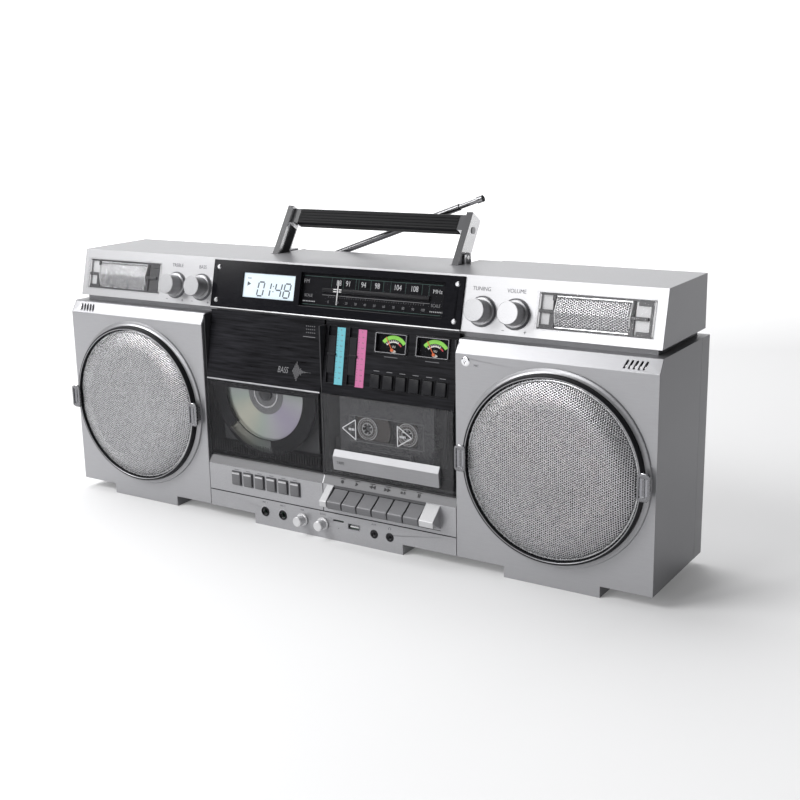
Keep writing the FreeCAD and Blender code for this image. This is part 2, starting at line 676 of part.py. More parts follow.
def cd_mechanism():
    x, y, z = DISC
    deck = box((x - 58, x + 58), (20, 34), (z - 54, z + 54))
    motor = rod_y(x, z, 15, (34, 46))
    turntable = rod_y(x, z, 16, (y + 1.7, 20.5))
    spindle = rod_y(x, z, DISC_HOLE_R - 0.3, (y - 2.0, y + 2))
    rails = [box((x + 20, x + 48), (19, 21), (z - 4 - s, z - 2 - s)) for s in (0, 16)]
    return joined(deck, motor, turntable, spindle, *rails)


def compact_disc():
    x, y, z = DISC
    disc = rod_y(x, z, DISC_R, (y, y + 1.2))
    return disc.cut(rod_y(x, z, DISC_HOLE_R, (y - 1, y + 3)))


# Tape bay

def tape_door_window():
    """The window with the pocket that carries the cassette behind it."""
    x = (SPLIT_X + DOOR_GAP, DOOR_X)
    shell = door_shell(x, 8.2)
    edge = CASSETTE_WIDTH / 2
    floor = box((CASSETTE_X - edge - 3, CASSETTE_X + edge + 3), (1.5, 20.2), (72.2, 74.6))
    guides = []
    for side in (-1, 1):
        x_guide = sorted((CASSETTE_X + side * (edge + 0.4), CASSETTE_X + side * (edge + 3)))
        guides.append(box(x_guide, (1.5, 19.0), (72.4, 100)))
    return joined(shell, floor, *guides, *hinge_pins(x, 0.9, 1.4))


def tape_door_trim():
    """The silver bar across the foot of the tape window."""
    outline = [(WINDOW_FRONT, 90.2), (-4.0, 84.2), (-2.6, 71.0), (WINDOW_FRONT, 71.0)]
    return prism_x(outline, (13, 125.5))


def cassette_shell():
    low = HUB_Z - HUB_TO_EDGE
    x = (CASSETTE_X - CASSETTE_WIDTH / 2, CASSETTE_X + CASSETTE_WIDTH / 2)
    y = (CASSETTE_FRONT, CASSETTE_FRONT + CASSETTE_THICKNESS)
    shell = box(x, y, (low, low + CASSETTE_HEIGHT))
    taper = [
        (CASSETTE_X - 33, low),
        (CASSETTE_X + 33, low),
        (CASSETTE_X + 29, low + 17),
        (CASSETTE_X - 29, low + 17),
    ]
    shell = shell.fuse(prism_y(taper, (y[0] - 1.5, y[1] + 1.5))).removeSplitter()
    window_x = (CASSETTE_X - 33, CASSETTE_X + 33)
    cuts = [
        box((x[0] + 2, x[1] - 2), (y[0] + 1.2, y[1] - 1.2), (low + 2, low + CASSETTE_HEIGHT - 2)),
        box(window_x, (y[0] - 1, y[0] + 2), (HUB_Z - 10, HUB_Z + 11)),
    ]
    for side in (-1, 1):
        cuts.append(rod_y(CASSETTE_X + side * HUB_SPACING / 2, HUB_Z, 5.6, (y[1] - 2, y[1] + 2)))
    return shell.cut(cuts)


def cassette_reel(side, wound_r):
    """A toothed hub with its share of the tape."""
    x = CASSETTE_X + side * HUB_SPACING / 2
    y = (CASSETTE_FRONT + 1.8, CASSETTE_FRONT + CASSETTE_THICKNESS - 1.8)
    hub = rod_y(x, HUB_Z, 10.6, y)
    tape = rod_y(x, HUB_Z, wound_r, (y[0] + 0.7, y[1] - 0.7))
    reel = joined(hub, tape).cut(rod_y(x, HUB_Z, 4.9, (y[0] - 1, y[1] + 1)))
    tooth = box((x - 0.6, x + 0.6), y, (HUB_Z + 3.7, HUB_Z + 5.4))
    teeth = []
    for i in range(6):
        copy = tooth.copy()
        copy.rotate(Vector(x, 0, HUB_Z), Vector(0, 1, 0), 60 * i)
        teeth.append(copy)
    return joined(reel, *teeth)


def tape_mechanism():
    """The deck behind the cassette: plate, motor, flywheel housing and the two drive spindles."""
    deck = box((10, 118), (23, 27), (80, 138))
    motor = rod_y(36, 98, 14, (27, 46))
    flywheel = rod_y(88, 104, 22, (27, 34))
    spindles = []
    for side in (-1, 1):
        x = CASSETTE_X + side * HUB_SPACING / 2
        spindles.append(rod_y(x, HUB_Z, 2.3, (13.0, 24)))
    return joined(deck, motor, flywheel, *spindles)


# Electronics

def main_circuit_board():
    """The board with its front sockets, the mains transformer and the capacitors."""
    board = box((-124, 124), (14, 94), (24, 25.6))
    sockets = [box((x - 6, x + 6), (WALL + 0.2, 18), (8.6, 24.5)) for x in MIC_JACK_X]
    sockets += [box((x - 4, x + 4), (WALL + 0.2, 17), (10.6, 24.5)) for x in LINE_JACK_X]
    sockets += [box((x - 5, x + 5), (6, 17), (9, 24.5)) for x in SMALL_KNOB_X.values()]
    sockets.append(box((USB_SLOT[0] - 7.2, USB_SLOT[0] + 7.2), (WALL + 0.2, 17), (13, 24.5)))
    sockets.append(box((CARD_SLOT[0] - 7.2, CARD_SLOT[0] + 7.2), (WALL + 0.2, 17), (18, 24.5)))
    transformer = box((-112, -62), (58, 92), (25, 54))
    windings = box((-104, -70), (60, 90), (30, 56))
    capacitors = [rod_z(x, 80, 8, (25, 52)) for x in (-30, -8)]
    heat_sink = box((40, 44), (60, 92), (25, 54))
    board = joined(board, *sockets, transformer, windings, *capacitors, heat_sink)
    bores = [rod_y(x, SOCKET_Z, MIC_JACK_R, (0, 16)) for x in MIC_JACK_X]
    bores += [rod_y(x, SOCKET_Z, LINE_JACK_R, (0, 15)) for x in LINE_JACK_X]
    for x, z, wide, high in (CARD_SLOT, USB_SLOT):
        bores.append(box((x - wide / 2, x + wide / 2), (0, 14), (z - high / 2, z + high / 2)))
    return board.cut(bores)


# Handle and aerial

def along_handle(shape):
    """Leans a handle piece, drawn standing on the pivot, back to its place."""
    y, z = HANDLE_PIVOT
    moved = shape.translated(Vector(0, y, z))
    moved.rotate(Vector(0, y, z), Vector(1, 0, 0), -HANDLE_LEAN)
    return moved


def handle_arms():
    """Two channel arms, each with a foot below its pivot and a head that the grip ends against."""
    half = ARM_WIDTH / 2
    top = HANDLE_LENGTH + half + 0.5
    arms = []
    for side in (-1, 1):
        x = sorted((side * HANDLE_X[0], side * HANDLE_X[1]))
        arm = box(x, (-half, half), (-ARM_FOOT, top))
        channel = sorted((side * (HANDLE_X[0] - 1), side * (HANDLE_X[1] - 1.6)))
        arm = arm.cut(box(channel, (1.6 - half, half - 1.6), (1.6 - ARM_FOOT, HANDLE_LENGTH - half - 1)))
        head_x = sorted((side * GRIP_X, side * (HANDLE_X[0] + 1)))
        head = box(head_x, (-4.6, 4.6), (HANDLE_LENGTH - 7.6, top - 1.2))
        pin = rod_x(0, 0, PIVOT_PIN_R, sorted((side * (HANDLE_X[1] - 1.5), side * LUG_X[1])))
        arms.append(along_handle(joined(arm, head, pin)))
    return Part.makeCompound(arms)


def handle_grip():
    """The ribbed bar between the heads of the arms."""
    x = (0.05 - GRIP_X, GRIP_X - 0.05)
    low = HANDLE_LENGTH - ARM_WIDTH / 2
    bar = box(x, (-5, 5), (low, low + ARM_WIDTH))
    long_edges = [e for e in bar.Edges if abs(e.Vertexes[0].X - e.Vertexes[1].X) > 1]
    bar = bar.makeFillet(2.4, long_edges)
    ribs = []
    for i in range(4):
        up = low + 2.5 + i * 3
        ribs.append(box((x[0] - 1, x[1] + 1), (-6, -4.4), (up, up + 1.2)))
    return along_handle(bar.cut(ribs))


def along_aerial(shape):
    """Raises an aerial piece, drawn along X from the pivot, to its resting angle."""
    moved = shape.translated(Vector(*AERIAL_PIVOT))
    moved.rotate(Vector(*AERIAL_PIVOT), Vector(0, -1, 0), AERIAL_RISE)
    return moved


def antenna_knuckle():
    """The swivel: a spindle into the back of the trough with two ears round the tube's tang."""
    back = TROUGH_Y - AERIAL_PIVOT[1] + 0.3
    spindle = rod_y(0, 0, 3.0, (back, -3.0))
    ears = [box((-4.5, 4.5), (-3.4, 3.4), z) for z in ((1.8, 4.0), (-4.0, -1.8))]
    web = box((-4.5, -2.9), (-3.4, 3.4), (-4.0, 4.0))
    bridge = box((-4.5, 4.5), (-4.4, -3.2), (-4.0, 4.0))
    body = joined(spindle, *ears, web, bridge).cut(rod_z(0, 0, 1.08, (-5, 5)))
    return along_aerial(body)


def antenna_outer_tube():
    """The widest section with its flat tang and the pivot pin through it."""
    tang = box((-1.6, 9), (-1.6, 1.6), (-1.5, 1.5))
    pin = rod_z(0, 0, 1.0, (-4.4, 4.4))
    x = (7, AERIAL_TUBE_END)
    tube = rod_x(0, 0, AERIAL_R, x).cut(rod_x(0, 0, AERIAL_BORE_R, (x[0] + 4, x[1] + 1)))
    return along_aerial(joined(tang, pin, tube))


def antenna_inner_tube():
    """The sliding section with its tip."""
    section = rod_x(0, 0, AERIAL_BORE_R - 0.06, (14, AERIAL_LENGTH - 5))
    tip = rod_x(0, 0, AERIAL_R, (AERIAL_LENGTH - 6, AERIAL_LENGTH))
    return along_aerial(joined(section, tip))


def main():
    os.makedirs("parts", exist_ok=True)
    right = speaker_cabinet()
    save("right_speaker_cabinet", right.cut(rod_y(*MIC_HOLE, MIC_HOLE_R, (-1, WALL + 1))))
    save("left_speaker_cabinet", mirrored(right))
    save("rear_cover", rear_cover())
    save("top_cabinet", top_cabinet())
    save("center_chassis", center_chassis())
    save("lower_front_panel", lower_front_panel())
    save("dial_bezel", dial_bezel())
    save("dial_display", dial_display())
    save("dial_needle", dial_needle())
    save("control_panel", control_panel())
    save("vu_meters", vu_meters())
    save("speaker_trim_rings", speaker_trim_rings())
    save("speaker_grilles", speaker_grilles())
    save("speaker_drivers", speaker_drivers())
    save("tweeter_horns", tweeter_horns())
    save("panel_screws", panel_screws())
    save("main_circuit_board", main_circuit_board())
    save("cd_mechanism", cd_mechanism())
    save("compact_disc", compact_disc())
    save("cd_door_panel", cd_door_panel())
    save("cd_door_window", cd_door_window())
    save("tape_mechanism", tape_mechanism())
    save("tape_door_window", tape_door_window())
    save("tape_door_trim", tape_door_trim())
    save("cassette_shell", cassette_shell())
    save("cassette_reel_left", cassette_reel(-1, 24.0))
    save("cassette_reel_right", cassette_reel(1, 12.5))
    save("handle_arms", handle_arms())
    save("handle_grip", handle_grip())
    save("antenna_knuckle", antenna_knuckle())
    save("antenna_outer_tube", antenna_outer_tube())
    save("antenna_inner_tube", antenna_inner_tube())
    for index, name in enumerate(KEY_NAMES):
        save(name, tape_key(index))
    for index in range(BUTTON_COUNT):
        save(f"cd_button_{index + 1}", cd_button(index))
        save(f"function_button_{index + 1}", function_button(index))
    for name, x in KNOB_X.items():
        save(name, knob(x))
    for name, x in SMALL_KNOB_X.items():
        save(name, small_knob(x))
    for index, side in enumerate(("left", "right")):
        save(f"slider_cap_{side}", slider_cap(index))
        save(f"vu_needle_{side}", vu_needle(index))


main()
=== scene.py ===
import math

import bmesh
import bpy
from mathutils import Matrix, Vector


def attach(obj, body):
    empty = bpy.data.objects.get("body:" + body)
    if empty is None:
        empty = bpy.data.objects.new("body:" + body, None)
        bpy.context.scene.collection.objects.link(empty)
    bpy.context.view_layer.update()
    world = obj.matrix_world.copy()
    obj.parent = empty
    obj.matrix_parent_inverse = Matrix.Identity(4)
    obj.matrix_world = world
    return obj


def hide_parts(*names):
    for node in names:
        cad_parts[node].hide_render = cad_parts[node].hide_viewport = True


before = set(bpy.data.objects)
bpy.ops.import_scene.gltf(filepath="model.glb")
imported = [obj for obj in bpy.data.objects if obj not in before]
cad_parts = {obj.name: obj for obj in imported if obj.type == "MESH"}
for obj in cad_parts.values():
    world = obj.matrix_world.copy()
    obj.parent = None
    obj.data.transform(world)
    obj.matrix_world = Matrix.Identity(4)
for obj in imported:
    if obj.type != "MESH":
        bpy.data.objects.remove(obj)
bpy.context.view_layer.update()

# Every shape below is drawn in millimetres. Plain pieces are drawn with Y = 0 at the speaker fronts;
# pieces on the leaning top front and the leaning panel are drawn upright, as (x, depth, up).
MM = 0.001
HALF_DEPTH = 57.5
DISC_X, DISC_Z = -77.0, 129.0


def leaning(foot, degrees):
    """Places a piece drawn upright on a plane that leans back from foot."""
    shift = Matrix.Translation((0, foot[0] - HALF_DEPTH, foot[1]))
    return Matrix.Scale(MM, 4) @ shift @ Matrix.Rotation(math.radians(-degrees), 4, "X")


PLAIN = leaning((0, 0), 0)
TOP = leaning((13.2, 209.2), 14.0)
PANEL = leaning((1.5, 141.2), 10.3)


# Materials

EVEN = (1, 1, 1)
COLOUR_CHANNELS = ("Red", "Green", "Blue")
GRAIN_DEPTH = 0.02


def tree(name):
    """A new material, a helper that adds nodes to it and one that sets its shader's inputs."""
    mat = bpy.data.materials.new(name)
    mat.use_nodes = True
    nodes, links = mat.node_tree.nodes, mat.node_tree.links

    def put(node, inputs):
        for key, value in inputs.items():
            if hasattr(value, "links"):
                links.new(value, node.inputs[key])
            else:
                node.inputs[key].default_value = value

    def add(kind, inputs=None, **settings):
        node = nodes.new("ShaderNode" + kind)
        for key, value in settings.items():
            setattr(node, key, value)
        put(node, inputs or {})
        return node

    return mat, add, lambda inputs: put(nodes["Principled BSDF"], inputs)


def rgb(colour, factor=1.0):
    return tuple(min(1.0, c * factor) for c in colour) + (1.0,)


def streaks(add, stretch, scale, detail=5.0):
    """Noise in object space, stretched so that brushed finishes get long thin streaks."""
    coords = add("TexCoord").outputs["Object"]
    mapped = add("Mapping", {"Vector": coords, "Scale": stretch}).outputs["Vector"]
    settings = {"Vector": mapped, "Scale": scale, "Detail": detail, "Roughness": 0.6}
    return add("TexNoise", settings).outputs["Fac"]


def ranged(add, value, low, high, from_low=0.3, from_high=0.7):
    limits = {"From Min": from_low, "From Max": from_high, "To Min": low, "To Max": high}
    return add("MapRange", {"Value": value, **limits}).outputs["Result"]


def mixed(add, factor, first, second, **settings):
    sockets = {"Factor": factor, "A": first, "B": second}
    return add("Mix", sockets, data_type="RGBA", **settings).outputs["Result"]


def calculated(add, operation, *values):
    return add("Math", dict(enumerate(values)), operation=operation).outputs[0]


def clouded(add, tone, scale, cloud):
    """A tone with slow clouds of light and shade over it."""
    slow = streaks(add, EVEN, scale, 2.0)
    grey = {channel: ranged(add, slow, 1 - cloud, 1 + cloud) for channel in COLOUR_CHANNELS}
    shade = add("CombineColor", grey).outputs["Color"]
    return mixed(add, 1.0, tone, shade, blend_type="MULTIPLY")


def relief(add, height, strength, depth):
    bump = add("Bump", {"Height": height, "Strength": strength, "Distance": depth * MM})
    return bump.outputs["Normal"]


def finish(name, colour, roughness, grain, spread, rough_spread=0.05, bump=0.05, metallic=0.0,
           stretch=EVEN, cloud=0.05, alpha=1.0, glow=0.0, specular=0.5):
    """A surface with fine grain in its colour, gloss and relief, and slow clouds of tone over it."""
    mat, add, surface = tree(name)
    fine = streaks(add, stretch, grain)
    tone = mixed(add, ranged(add, fine, 0, 1), rgb(colour, 1 - spread), rgb(colour, 1 + spread))
    surface({
        "Base Color": clouded(add, tone, 14.0, cloud),
        "Roughness": ranged(add, fine, roughness - rough_spread, roughness + rough_spread),
        "Normal": relief(add, fine, bump, GRAIN_DEPTH),
        "Metallic": metallic,
        "Alpha": alpha,
        "Specular IOR Level": specular,
    })
    if glow:
        surface({"Emission Color": rgb(colour), "Emission Strength": glow})
    return mat


def silver_paint(name, colour, roughness, metallic):
    """Sprayed metallic paint: bright flakes, faint orange peel and a slow drift of tone."""
    mat, add, surface = tree(name)
    coords = add("TexCoord").outputs["Object"]
    cells = add("TexVoronoi", {"Vector": coords, "Scale": 2600.0}).outputs["Color"]
    flakes = add("SeparateColor", {"Color": cells}).outputs["Red"]
    tone = mixed(add, flakes, rgb(colour, 0.93), rgb(colour, 1.08))
    surface({
        "Base Color": clouded(add, tone, 9.0, 0.03),
        "Roughness": ranged(add, flakes, roughness - 0.05, roughness + 0.05, 0, 1),
        "Normal": relief(add, streaks(add, EVEN, 420.0, 3.0), 0.12, 0.03),
        "Metallic": metallic,
    })
    return mat


SILVER_SIDE = silver_paint("silver_paint_rear", (0.22, 0.22, 0.23), 0.42, 0.45)
LOWER = silver_paint("silver_lower_panel", (0.34, 0.34, 0.353), 0.36, 0.50)
BRIGHT = finish(
    "bright_brushed", (0.60, 0.60, 0.61), 0.34, 30.0, 0.03, 0.05, 0.06, metallic=0.4,
    stretch=(4, 60, 60), cloud=0.02
)
SATIN = finish(
    "satin_knob", (0.34, 0.34, 0.35), 0.32, 60.0, 0.05, 0.06, 0.08, metallic=0.60, stretch=(40, 4, 40)
)
TRIM = finish("satin_trim", (0.33, 0.33, 0.342), 0.34, 500.0, 0.05, metallic=0.5)
AERIAL = finish("aerial_steel", (0.16, 0.16, 0.165), 0.22, 700.0, 0.04, 0.03, 0.02, metallic=1.0)
CHROME = finish("polished_chrome", (0.74, 0.74, 0.76), 0.12, 700.0, 0.03, 0.03, 0.02, metallic=1.0)
GRILLE = finish("perforated_silver", (0.47, 0.47, 0.482), 0.27, 900.0, 0.05, 0.03, 0.02, metallic=1.0)
BLACK = finish("black_moulded", (0.010, 0.010, 0.012), 0.40, 1400.0, 0.25, 0.08, 0.18, specular=0.16)
GLOSS_BLACK = finish(
    "black_satin_bezel", (0.006, 0.006, 0.008), 0.15, 40.0, 0.20, 0.05, 0.04, stretch=(6, 60, 60),
    specular=0.16
)
BRUSHED_BLACK = finish(
    "black_brushed_panel", (0.009, 0.009, 0.011), 0.36, 22.0, 0.70, 0.10, 0.10, stretch=(1.4, 26, 26),
    cloud=0.25, specular=0.09
)
STRIP = finish(
    "grey_brushed_strip", (0.075, 0.075, 0.08), 0.40, 30.0, 0.12, 0.06, 0.06, metallic=0.2,
    stretch=(2, 40, 40)
)
SMOKED_AND_SHADE = finish(
    "smoked_acrylic_and_painted_shade", (0.045, 0.045, 0.048), 0.14, 60.0, 0.06, 0.03, 0.0, alpha=0.20, specular=0.14
)
CLIP_METAL = finish("clip_metal", (0.19, 0.19, 0.20), 0.26, 700.0, 0.06, 0.06, 0.05, metallic=0.80)
BAR = finish("tape_bar_silver", (0.24, 0.24, 0.25), 0.36, 40.0, 0.06, metallic=0.25, stretch=(5, 60, 60))
MASK = finish("bay_mask_black", (0.012, 0.012, 0.014), 0.45, 900.0, 0.2, 0.06, 0.08, specular=0.2)
COVER = finish("dial_cover", (0.01, 0.01, 0.012), 0.20, 60.0, 0.1, 0.03, 0.0, alpha=0.06, specular=0.03)
EDGE = finish("clear_edge", (0.40, 0.40, 0.42), 0.20, 300.0, 0.06, 0.05, 0.02, metallic=0.1)
HAZE = finish("smoked_haze", (0.11, 0.11, 0.115), 0.22, 60.0, 0.06, 0.03, 0.0, alpha=0.20, specular=0.35)
CLEAR = finish("clear_acrylic", (0.30, 0.30, 0.31), 0.06, 60.0, 0.04, 0.02, 0.0, alpha=0.05, specular=0.4)
WHITE_PRINT = finish("white_print", (0.50, 0.505, 0.52), 0.55, 3000.0, 0.08)
GREY_PRINT = finish("grey_print", (0.18, 0.18, 0.19), 0.50, 3000.0, 0.10)
GREEN_LINE = finish("green_print", (0.04, 0.11, 0.09), 0.55, 3000.0, 0.10)
# Dark print, also used for the painted shadow rings round the top knobs.
DARK_PRINT_AND_SHADE = finish("dark_print_and_painted_shade", (0.10, 0.10, 0.11), 0.55, 3000.0, 0.10)
LCD = finish(
    "lcd_glass", (0.46, 0.53, 0.58), 0.30, 200.0, 0.02, 0.02, 0.0, cloud=0.10, glow=0.55, specular=0.1
)
SEGMENT = finish("lcd_segment", (0.045, 0.055, 0.070), 0.50, 900.0, 0.10, 0.03, 0.0)
CYAN = finish("cyan_label", (0.105, 0.40, 0.47), 0.50, 1200.0, 0.06, cloud=0.04)
PINK = finish("pink_label", (0.46, 0.11, 0.26), 0.50, 1200.0, 0.06, cloud=0.04)
METER_FACE = finish("meter_face", (0.006, 0.006, 0.008), 0.45, 900.0, 0.20, 0.05, 0.02, specular=0.06)
METER_GREEN = finish("meter_green", (0.20, 0.52, 0.06), 0.45, 700.0, 0.12, 0.04, 0.02, glow=0.35)
METER_RED = finish("meter_red", (0.46, 0.03, 0.04), 0.45, 700.0, 0.10, 0.04, 0.02, glow=0.25)
METER_WHITE = finish("meter_white", (0.62, 0.60, 0.56), 0.45, 700.0, 0.06, 0.04, 0.02, glow=0.30)
ORANGE = finish("orange_needle", (0.62, 0.12, 0.03), 0.40, 900.0, 0.08, 0.04, 0.02, glow=0.3)
NEEDLE = finish("white_needle", (0.85, 0.85, 0.85), 0.40, 900.0, 0.05, 0.04, 0.02)
CONE = finish("speaker_cone", (0.030, 0.030, 0.032), 0.80, 1600.0, 0.30, 0.06, 0.30)
DARK_TRAY_AND_SHADE = finish("dark_tray_and_painted_shade", (0.022, 0.022, 0.026), 0.40, 900.0, 0.15, 0.06, 0.08)
WHITE_CHEEK = finish("white_cheek", (0.55, 0.55, 0.56), 0.38, 900.0, 0.04, metallic=0.05)
BUTTON_GREY = finish("button_grey", (0.12, 0.12, 0.126), 0.38, 1100.0, 0.10, 0.06, 0.10, metallic=0.25)
KEY_GREY = finish("key_silver", (0.125, 0.125, 0.132), 0.36, 40.0, 0.07, metallic=0.30, stretch=(5, 60, 60))
KEY_BRIGHT = finish("key_cheek_silver_and_painted_highlight", (0.46, 0.46, 0.47), 0.36, 900.0, 0.04, metallic=0.2)
BOARD = finish("circuit_board", (0.03, 0.16, 0.07), 0.45, 260.0, 0.30, 0.08, 0.20)
MECHANISM = finish("mechanism_grey", (0.085, 0.086, 0.092), 0.50, 800.0, 0.16, 0.08, 0.12, metallic=0.1)
BAY = finish("bay_black", (0.028, 0.028, 0.031), 0.50, 900.0, 0.18, 0.08, 0.12, specular=0.3)
CASSETTE = finish("cassette_smoke", (0.045, 0.045, 0.050), 0.28, 700.0, 0.12, 0.05, 0.06)
REEL = finish("reel_clear", (0.30, 0.30, 0.31), 0.30, 700.0, 0.06)
TAPE = finish("wound_tape", (0.045, 0.035, 0.030), 0.30, 1500.0, 0.25, 0.06, 0.10)
GRIP = finish("black_grip", (0.008, 0.008, 0.009), 0.38, 1300.0, 0.22, 0.08, 0.16, specular=0.07)
SCREW = finish("bright_screw", (0.40, 0.40, 0.41), 0.30, 900.0, 0.06, metallic=1.0)
RUBBER = finish("rubber_pad", (0.028, 0.028, 0.030), 0.75, 1500.0, 0.25, 0.06, 0.35)
METAL_DARK = finish("dark_steel", (0.30, 0.30, 0.32), 0.30, 900.0, 0.08, 0.06, 0.06, metallic=0.9)


def disc_material():
    """A pressed disc: concentric grooves, with a painted rainbow reflection whose colour turns with the angle
    on the disc.
    """
    mat, add, surface = tree("compact_disc_foil_painted_rainbow")
    coords = add("TexCoord").outputs["Object"]
    shift = {0: coords, 1: (-DISC_X * MM, 0.0, -DISC_Z * MM)}
    shifted = add("VectorMath", shift, operation="ADD").outputs["Vector"]
    parts = add("SeparateXYZ", {"Vector": shifted}).outputs
    flat = add("CombineXYZ", {"X": parts["X"], "Y": parts["Z"]}).outputs[0]
    radius = add("VectorMath", {0: flat}, operation="LENGTH").outputs["Value"]
    # Painted reflection: the rainbow's colour follows the angle round the disc and stands in for light split
    # by the grooves.
    angle = calculated(add, "ARCTAN2", parts["Z"], parts["X"])
    rainbow_turn = calculated(add, "SINE", calculated(add, "MULTIPLY", angle, 2.0))
    ramp = add("ValToRGB", {"Fac": ranged(add, rainbow_turn, 0, 1, -1, 1)})
    stops = ramp.color_ramp.elements
    stops[0].position, stops[0].color = 0.0, (0.50, 0.46, 0.58, 1)
    stops[1].position, stops[1].color = 1.0, (0.66, 0.66, 0.56, 1)
    for position, colour in ((0.3, (0.58, 0.58, 0.62, 1)), (0.7, (0.52, 0.60, 0.54, 1))):
        stops.new(position).color = colour
    grooves = calculated(add, "SINE", calculated(add, "MULTIPLY", radius, 9000.0))
    past_hub = ranged(add, radius, 0, 1, 0.0205, 0.0215)
    surface({
        "Base Color": mixed(add, past_hub, (0.24, 0.24, 0.25, 1), ramp.outputs["Color"]),
        "Normal": relief(add, grooves, 0.05, 0.005),
        "Roughness": ranged(add, grooves, 0.18, 0.26, -1, 1),
        "Metallic": 0.55,
    })
    return mat


DISC = disc_material()


def shaded_by_face(name, front, other, floor_z, metallic, roughness=0.38, turned_by=-0.8,
                   front_metallic=None, specular=0.5):
    """Painted light: front's colour on faces that look forwards above floor_z, and other's elsewhere, as the
    light falls.
    """
    mat, add, surface = tree(name)
    coords = add("TexCoord").outputs
    facing = add("SeparateXYZ", {"Vector": coords["Normal"]}).outputs["Y"]
    height = add("SeparateXYZ", {"Vector": coords["Object"]}).outputs["Z"]
    forward = calculated(add, "LESS_THAN", facing, turned_by)
    mask = calculated(add, "MULTIPLY", forward, calculated(add, "GREATER_THAN", height, floor_z))
    fine = streaks(add, (4, 60, 60), 30.0)
    flakes = streaks(add, EVEN, 1800.0, 2.0)
    front_tone, other_tone = (
        mixed(add, ranged(add, grain, 0, 1), rgb(colour, 1 - spread), rgb(colour, 1 + spread))
        for colour, grain, spread in ((front, fine, 0.03), (other, flakes, 0.07))
    )
    surface({
        "Base Color": mixed(add, mask, other_tone, front_tone),
        "Roughness": ranged(add, flakes, roughness - 0.05, roughness + 0.05),
        "Specular IOR Level": specular,
        "Metallic": metallic,
        "Normal": relief(add, fine, 0.03, 0.01),
    })
    if front_metallic is not None:
        surface({"Metallic": ranged(add, mask, metallic, front_metallic)})
    return mat


# Painted shade: the top's faces that don't look forwards are painted a darker silver than its front.
TOP_CABINET = shaded_by_face(
    "silver_top_painted_side_shade", (0.41, 0.41, 0.422), (0.25, 0.25, 0.262), 0.2085, 0.5, roughness=0.35
)
# Painted shade: the cabinets' sides and tops are painted a darker silver than their fronts.
CABINET = shaded_by_face("silver_cabinet_painted_side_shade", (0.34, 0.34, 0.353), (0.185, 0.185, 0.195), 0.0, 0.5)
# Painted light: the handle arms' fronts are painted dark as shade, and their other faces near-white as a
# highlight.
ARM = shaded_by_face(
    "handle_silver_painted_light", (0.09, 0.09, 0.094), (0.92, 0.92, 0.93), 0.0, 1.0, roughness=0.22, turned_by=-0.6,
    front_metallic=0.0, specular=0.1
)

FINISHES = (
    (CABINET, "left_speaker_cabinet right_speaker_cabinet"),
    (SILVER_SIDE, "rear_cover"),
    (TOP_CABINET, "top_cabinet"),
    (BAY, "center_chassis"),
    (LOWER, "lower_front_panel"),
    (GLOSS_BLACK, "dial_bezel"),
    (METER_FACE, "dial_display vu_meters"),
    (NEEDLE, "dial_needle"),
    (BRUSHED_BLACK, "control_panel cd_door_panel"),
    (CONE, "speaker_drivers"),
    (SCREW, "panel_screws"),
    (BOARD, "main_circuit_board"),
    (MECHANISM, "cd_mechanism tape_mechanism"),
    (DISC, "compact_disc"),
    (SMOKED_AND_SHADE, "cd_door_window"),
    (HAZE, "tape_door_window"),
    (BAR, "tape_door_trim"),
    (CASSETTE, "cassette_shell"),
    (TAPE, "cassette_reel_left cassette_reel_right"),
    (ARM, "handle_arms"),
    (GRIP, "handle_grip"),
    (CHROME, "antenna_knuckle"),
    (AERIAL, "antenna_outer_tube antenna_inner_tube"),
    (BRIGHT, "mic_volume_knob echo_knob"),
    (BLACK, "slider_cap_left slider_cap_right"),
    (ORANGE, "vu_needle_left vu_needle_right"),
)
NODE_FINISH = {name: mat for mat, names in FINISHES for name in names.split()}
KEYS = ("record_key", "play_key", "rewind_key", "fast_forward_key", "stop_key", "pause_key")
NODE_FINISH.update({name: KEY_GREY for name in KEYS})
NODE_FINISH.update({f"cd_button_{i}": BUTTON_GREY for i in range(1, 7)})
NODE_FINISH.update({f"function_button_{i}": BLACK for i in range(1, 7)})
NODE_FINISH.update({name: SATIN for name in ("treble_knob", "bass_knob", "tuning_knob", "volume_knob")})

BEVEL_WIDTHS = (
    (1.0, "left_speaker_cabinet right_speaker_cabinet"),
    (0.8, "rear_cover top_cabinet"),
    (0.5, "lower_front_panel tape_door_trim handle_arms"),
    (0.3, "dial_bezel"),
    (0.4, "control_panel cd_door_window tape_door_window cassette_shell"),
    (0.6, "cd_door_panel"),
    (0.25, "slider_cap_left slider_cap_right antenna_knuckle"),
)
BEVELS = {name: width for width, names in BEVEL_WIDTHS for name in names.split()}
BEVELS.update({name: 0.5 for name in KEYS})


def soften(obj, width):
    """Joins the split corners of a mesh, rounds its sharp edges and evens its shading."""
    weld = obj.modifiers.new("weld", "WELD")
    weld.merge_threshold = 1e-6
    bevel = obj.modifiers.new("rounded_edges", "BEVEL")
    bevel.width = width * MM
    bevel.segments = 2
    bevel.limit_method = "ANGLE"
    bevel.angle_limit = math.radians(32)
    bevel.use_clamp_overlap = True
    bevel.miter_outer = "MITER_ARC"
    normals = obj.modifiers.new("even_shading", "WEIGHTED_NORMAL")
    normals.keep_sharp = True


for name, mat in NODE_FINISH.items():
    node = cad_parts[name]
    node.data.materials.clear()
    node.data.materials.append(mat)
    if name in BEVELS:
        soften(node, BEVELS[name])


# Shapes: each returns a bmesh in millimetres

def shape(verts, faces):
    bm = bmesh.new()
    made = [bm.verts.new(v) for v in verts]
    for face in faces:
        bm.faces.new([made[i] for i in face])
    bmesh.ops.recalc_face_normals(bm, faces=bm.faces)
    return bm


def about(middle, reach):
    """The two limits at an equal distance from a middle."""
    return middle - reach, middle + reach


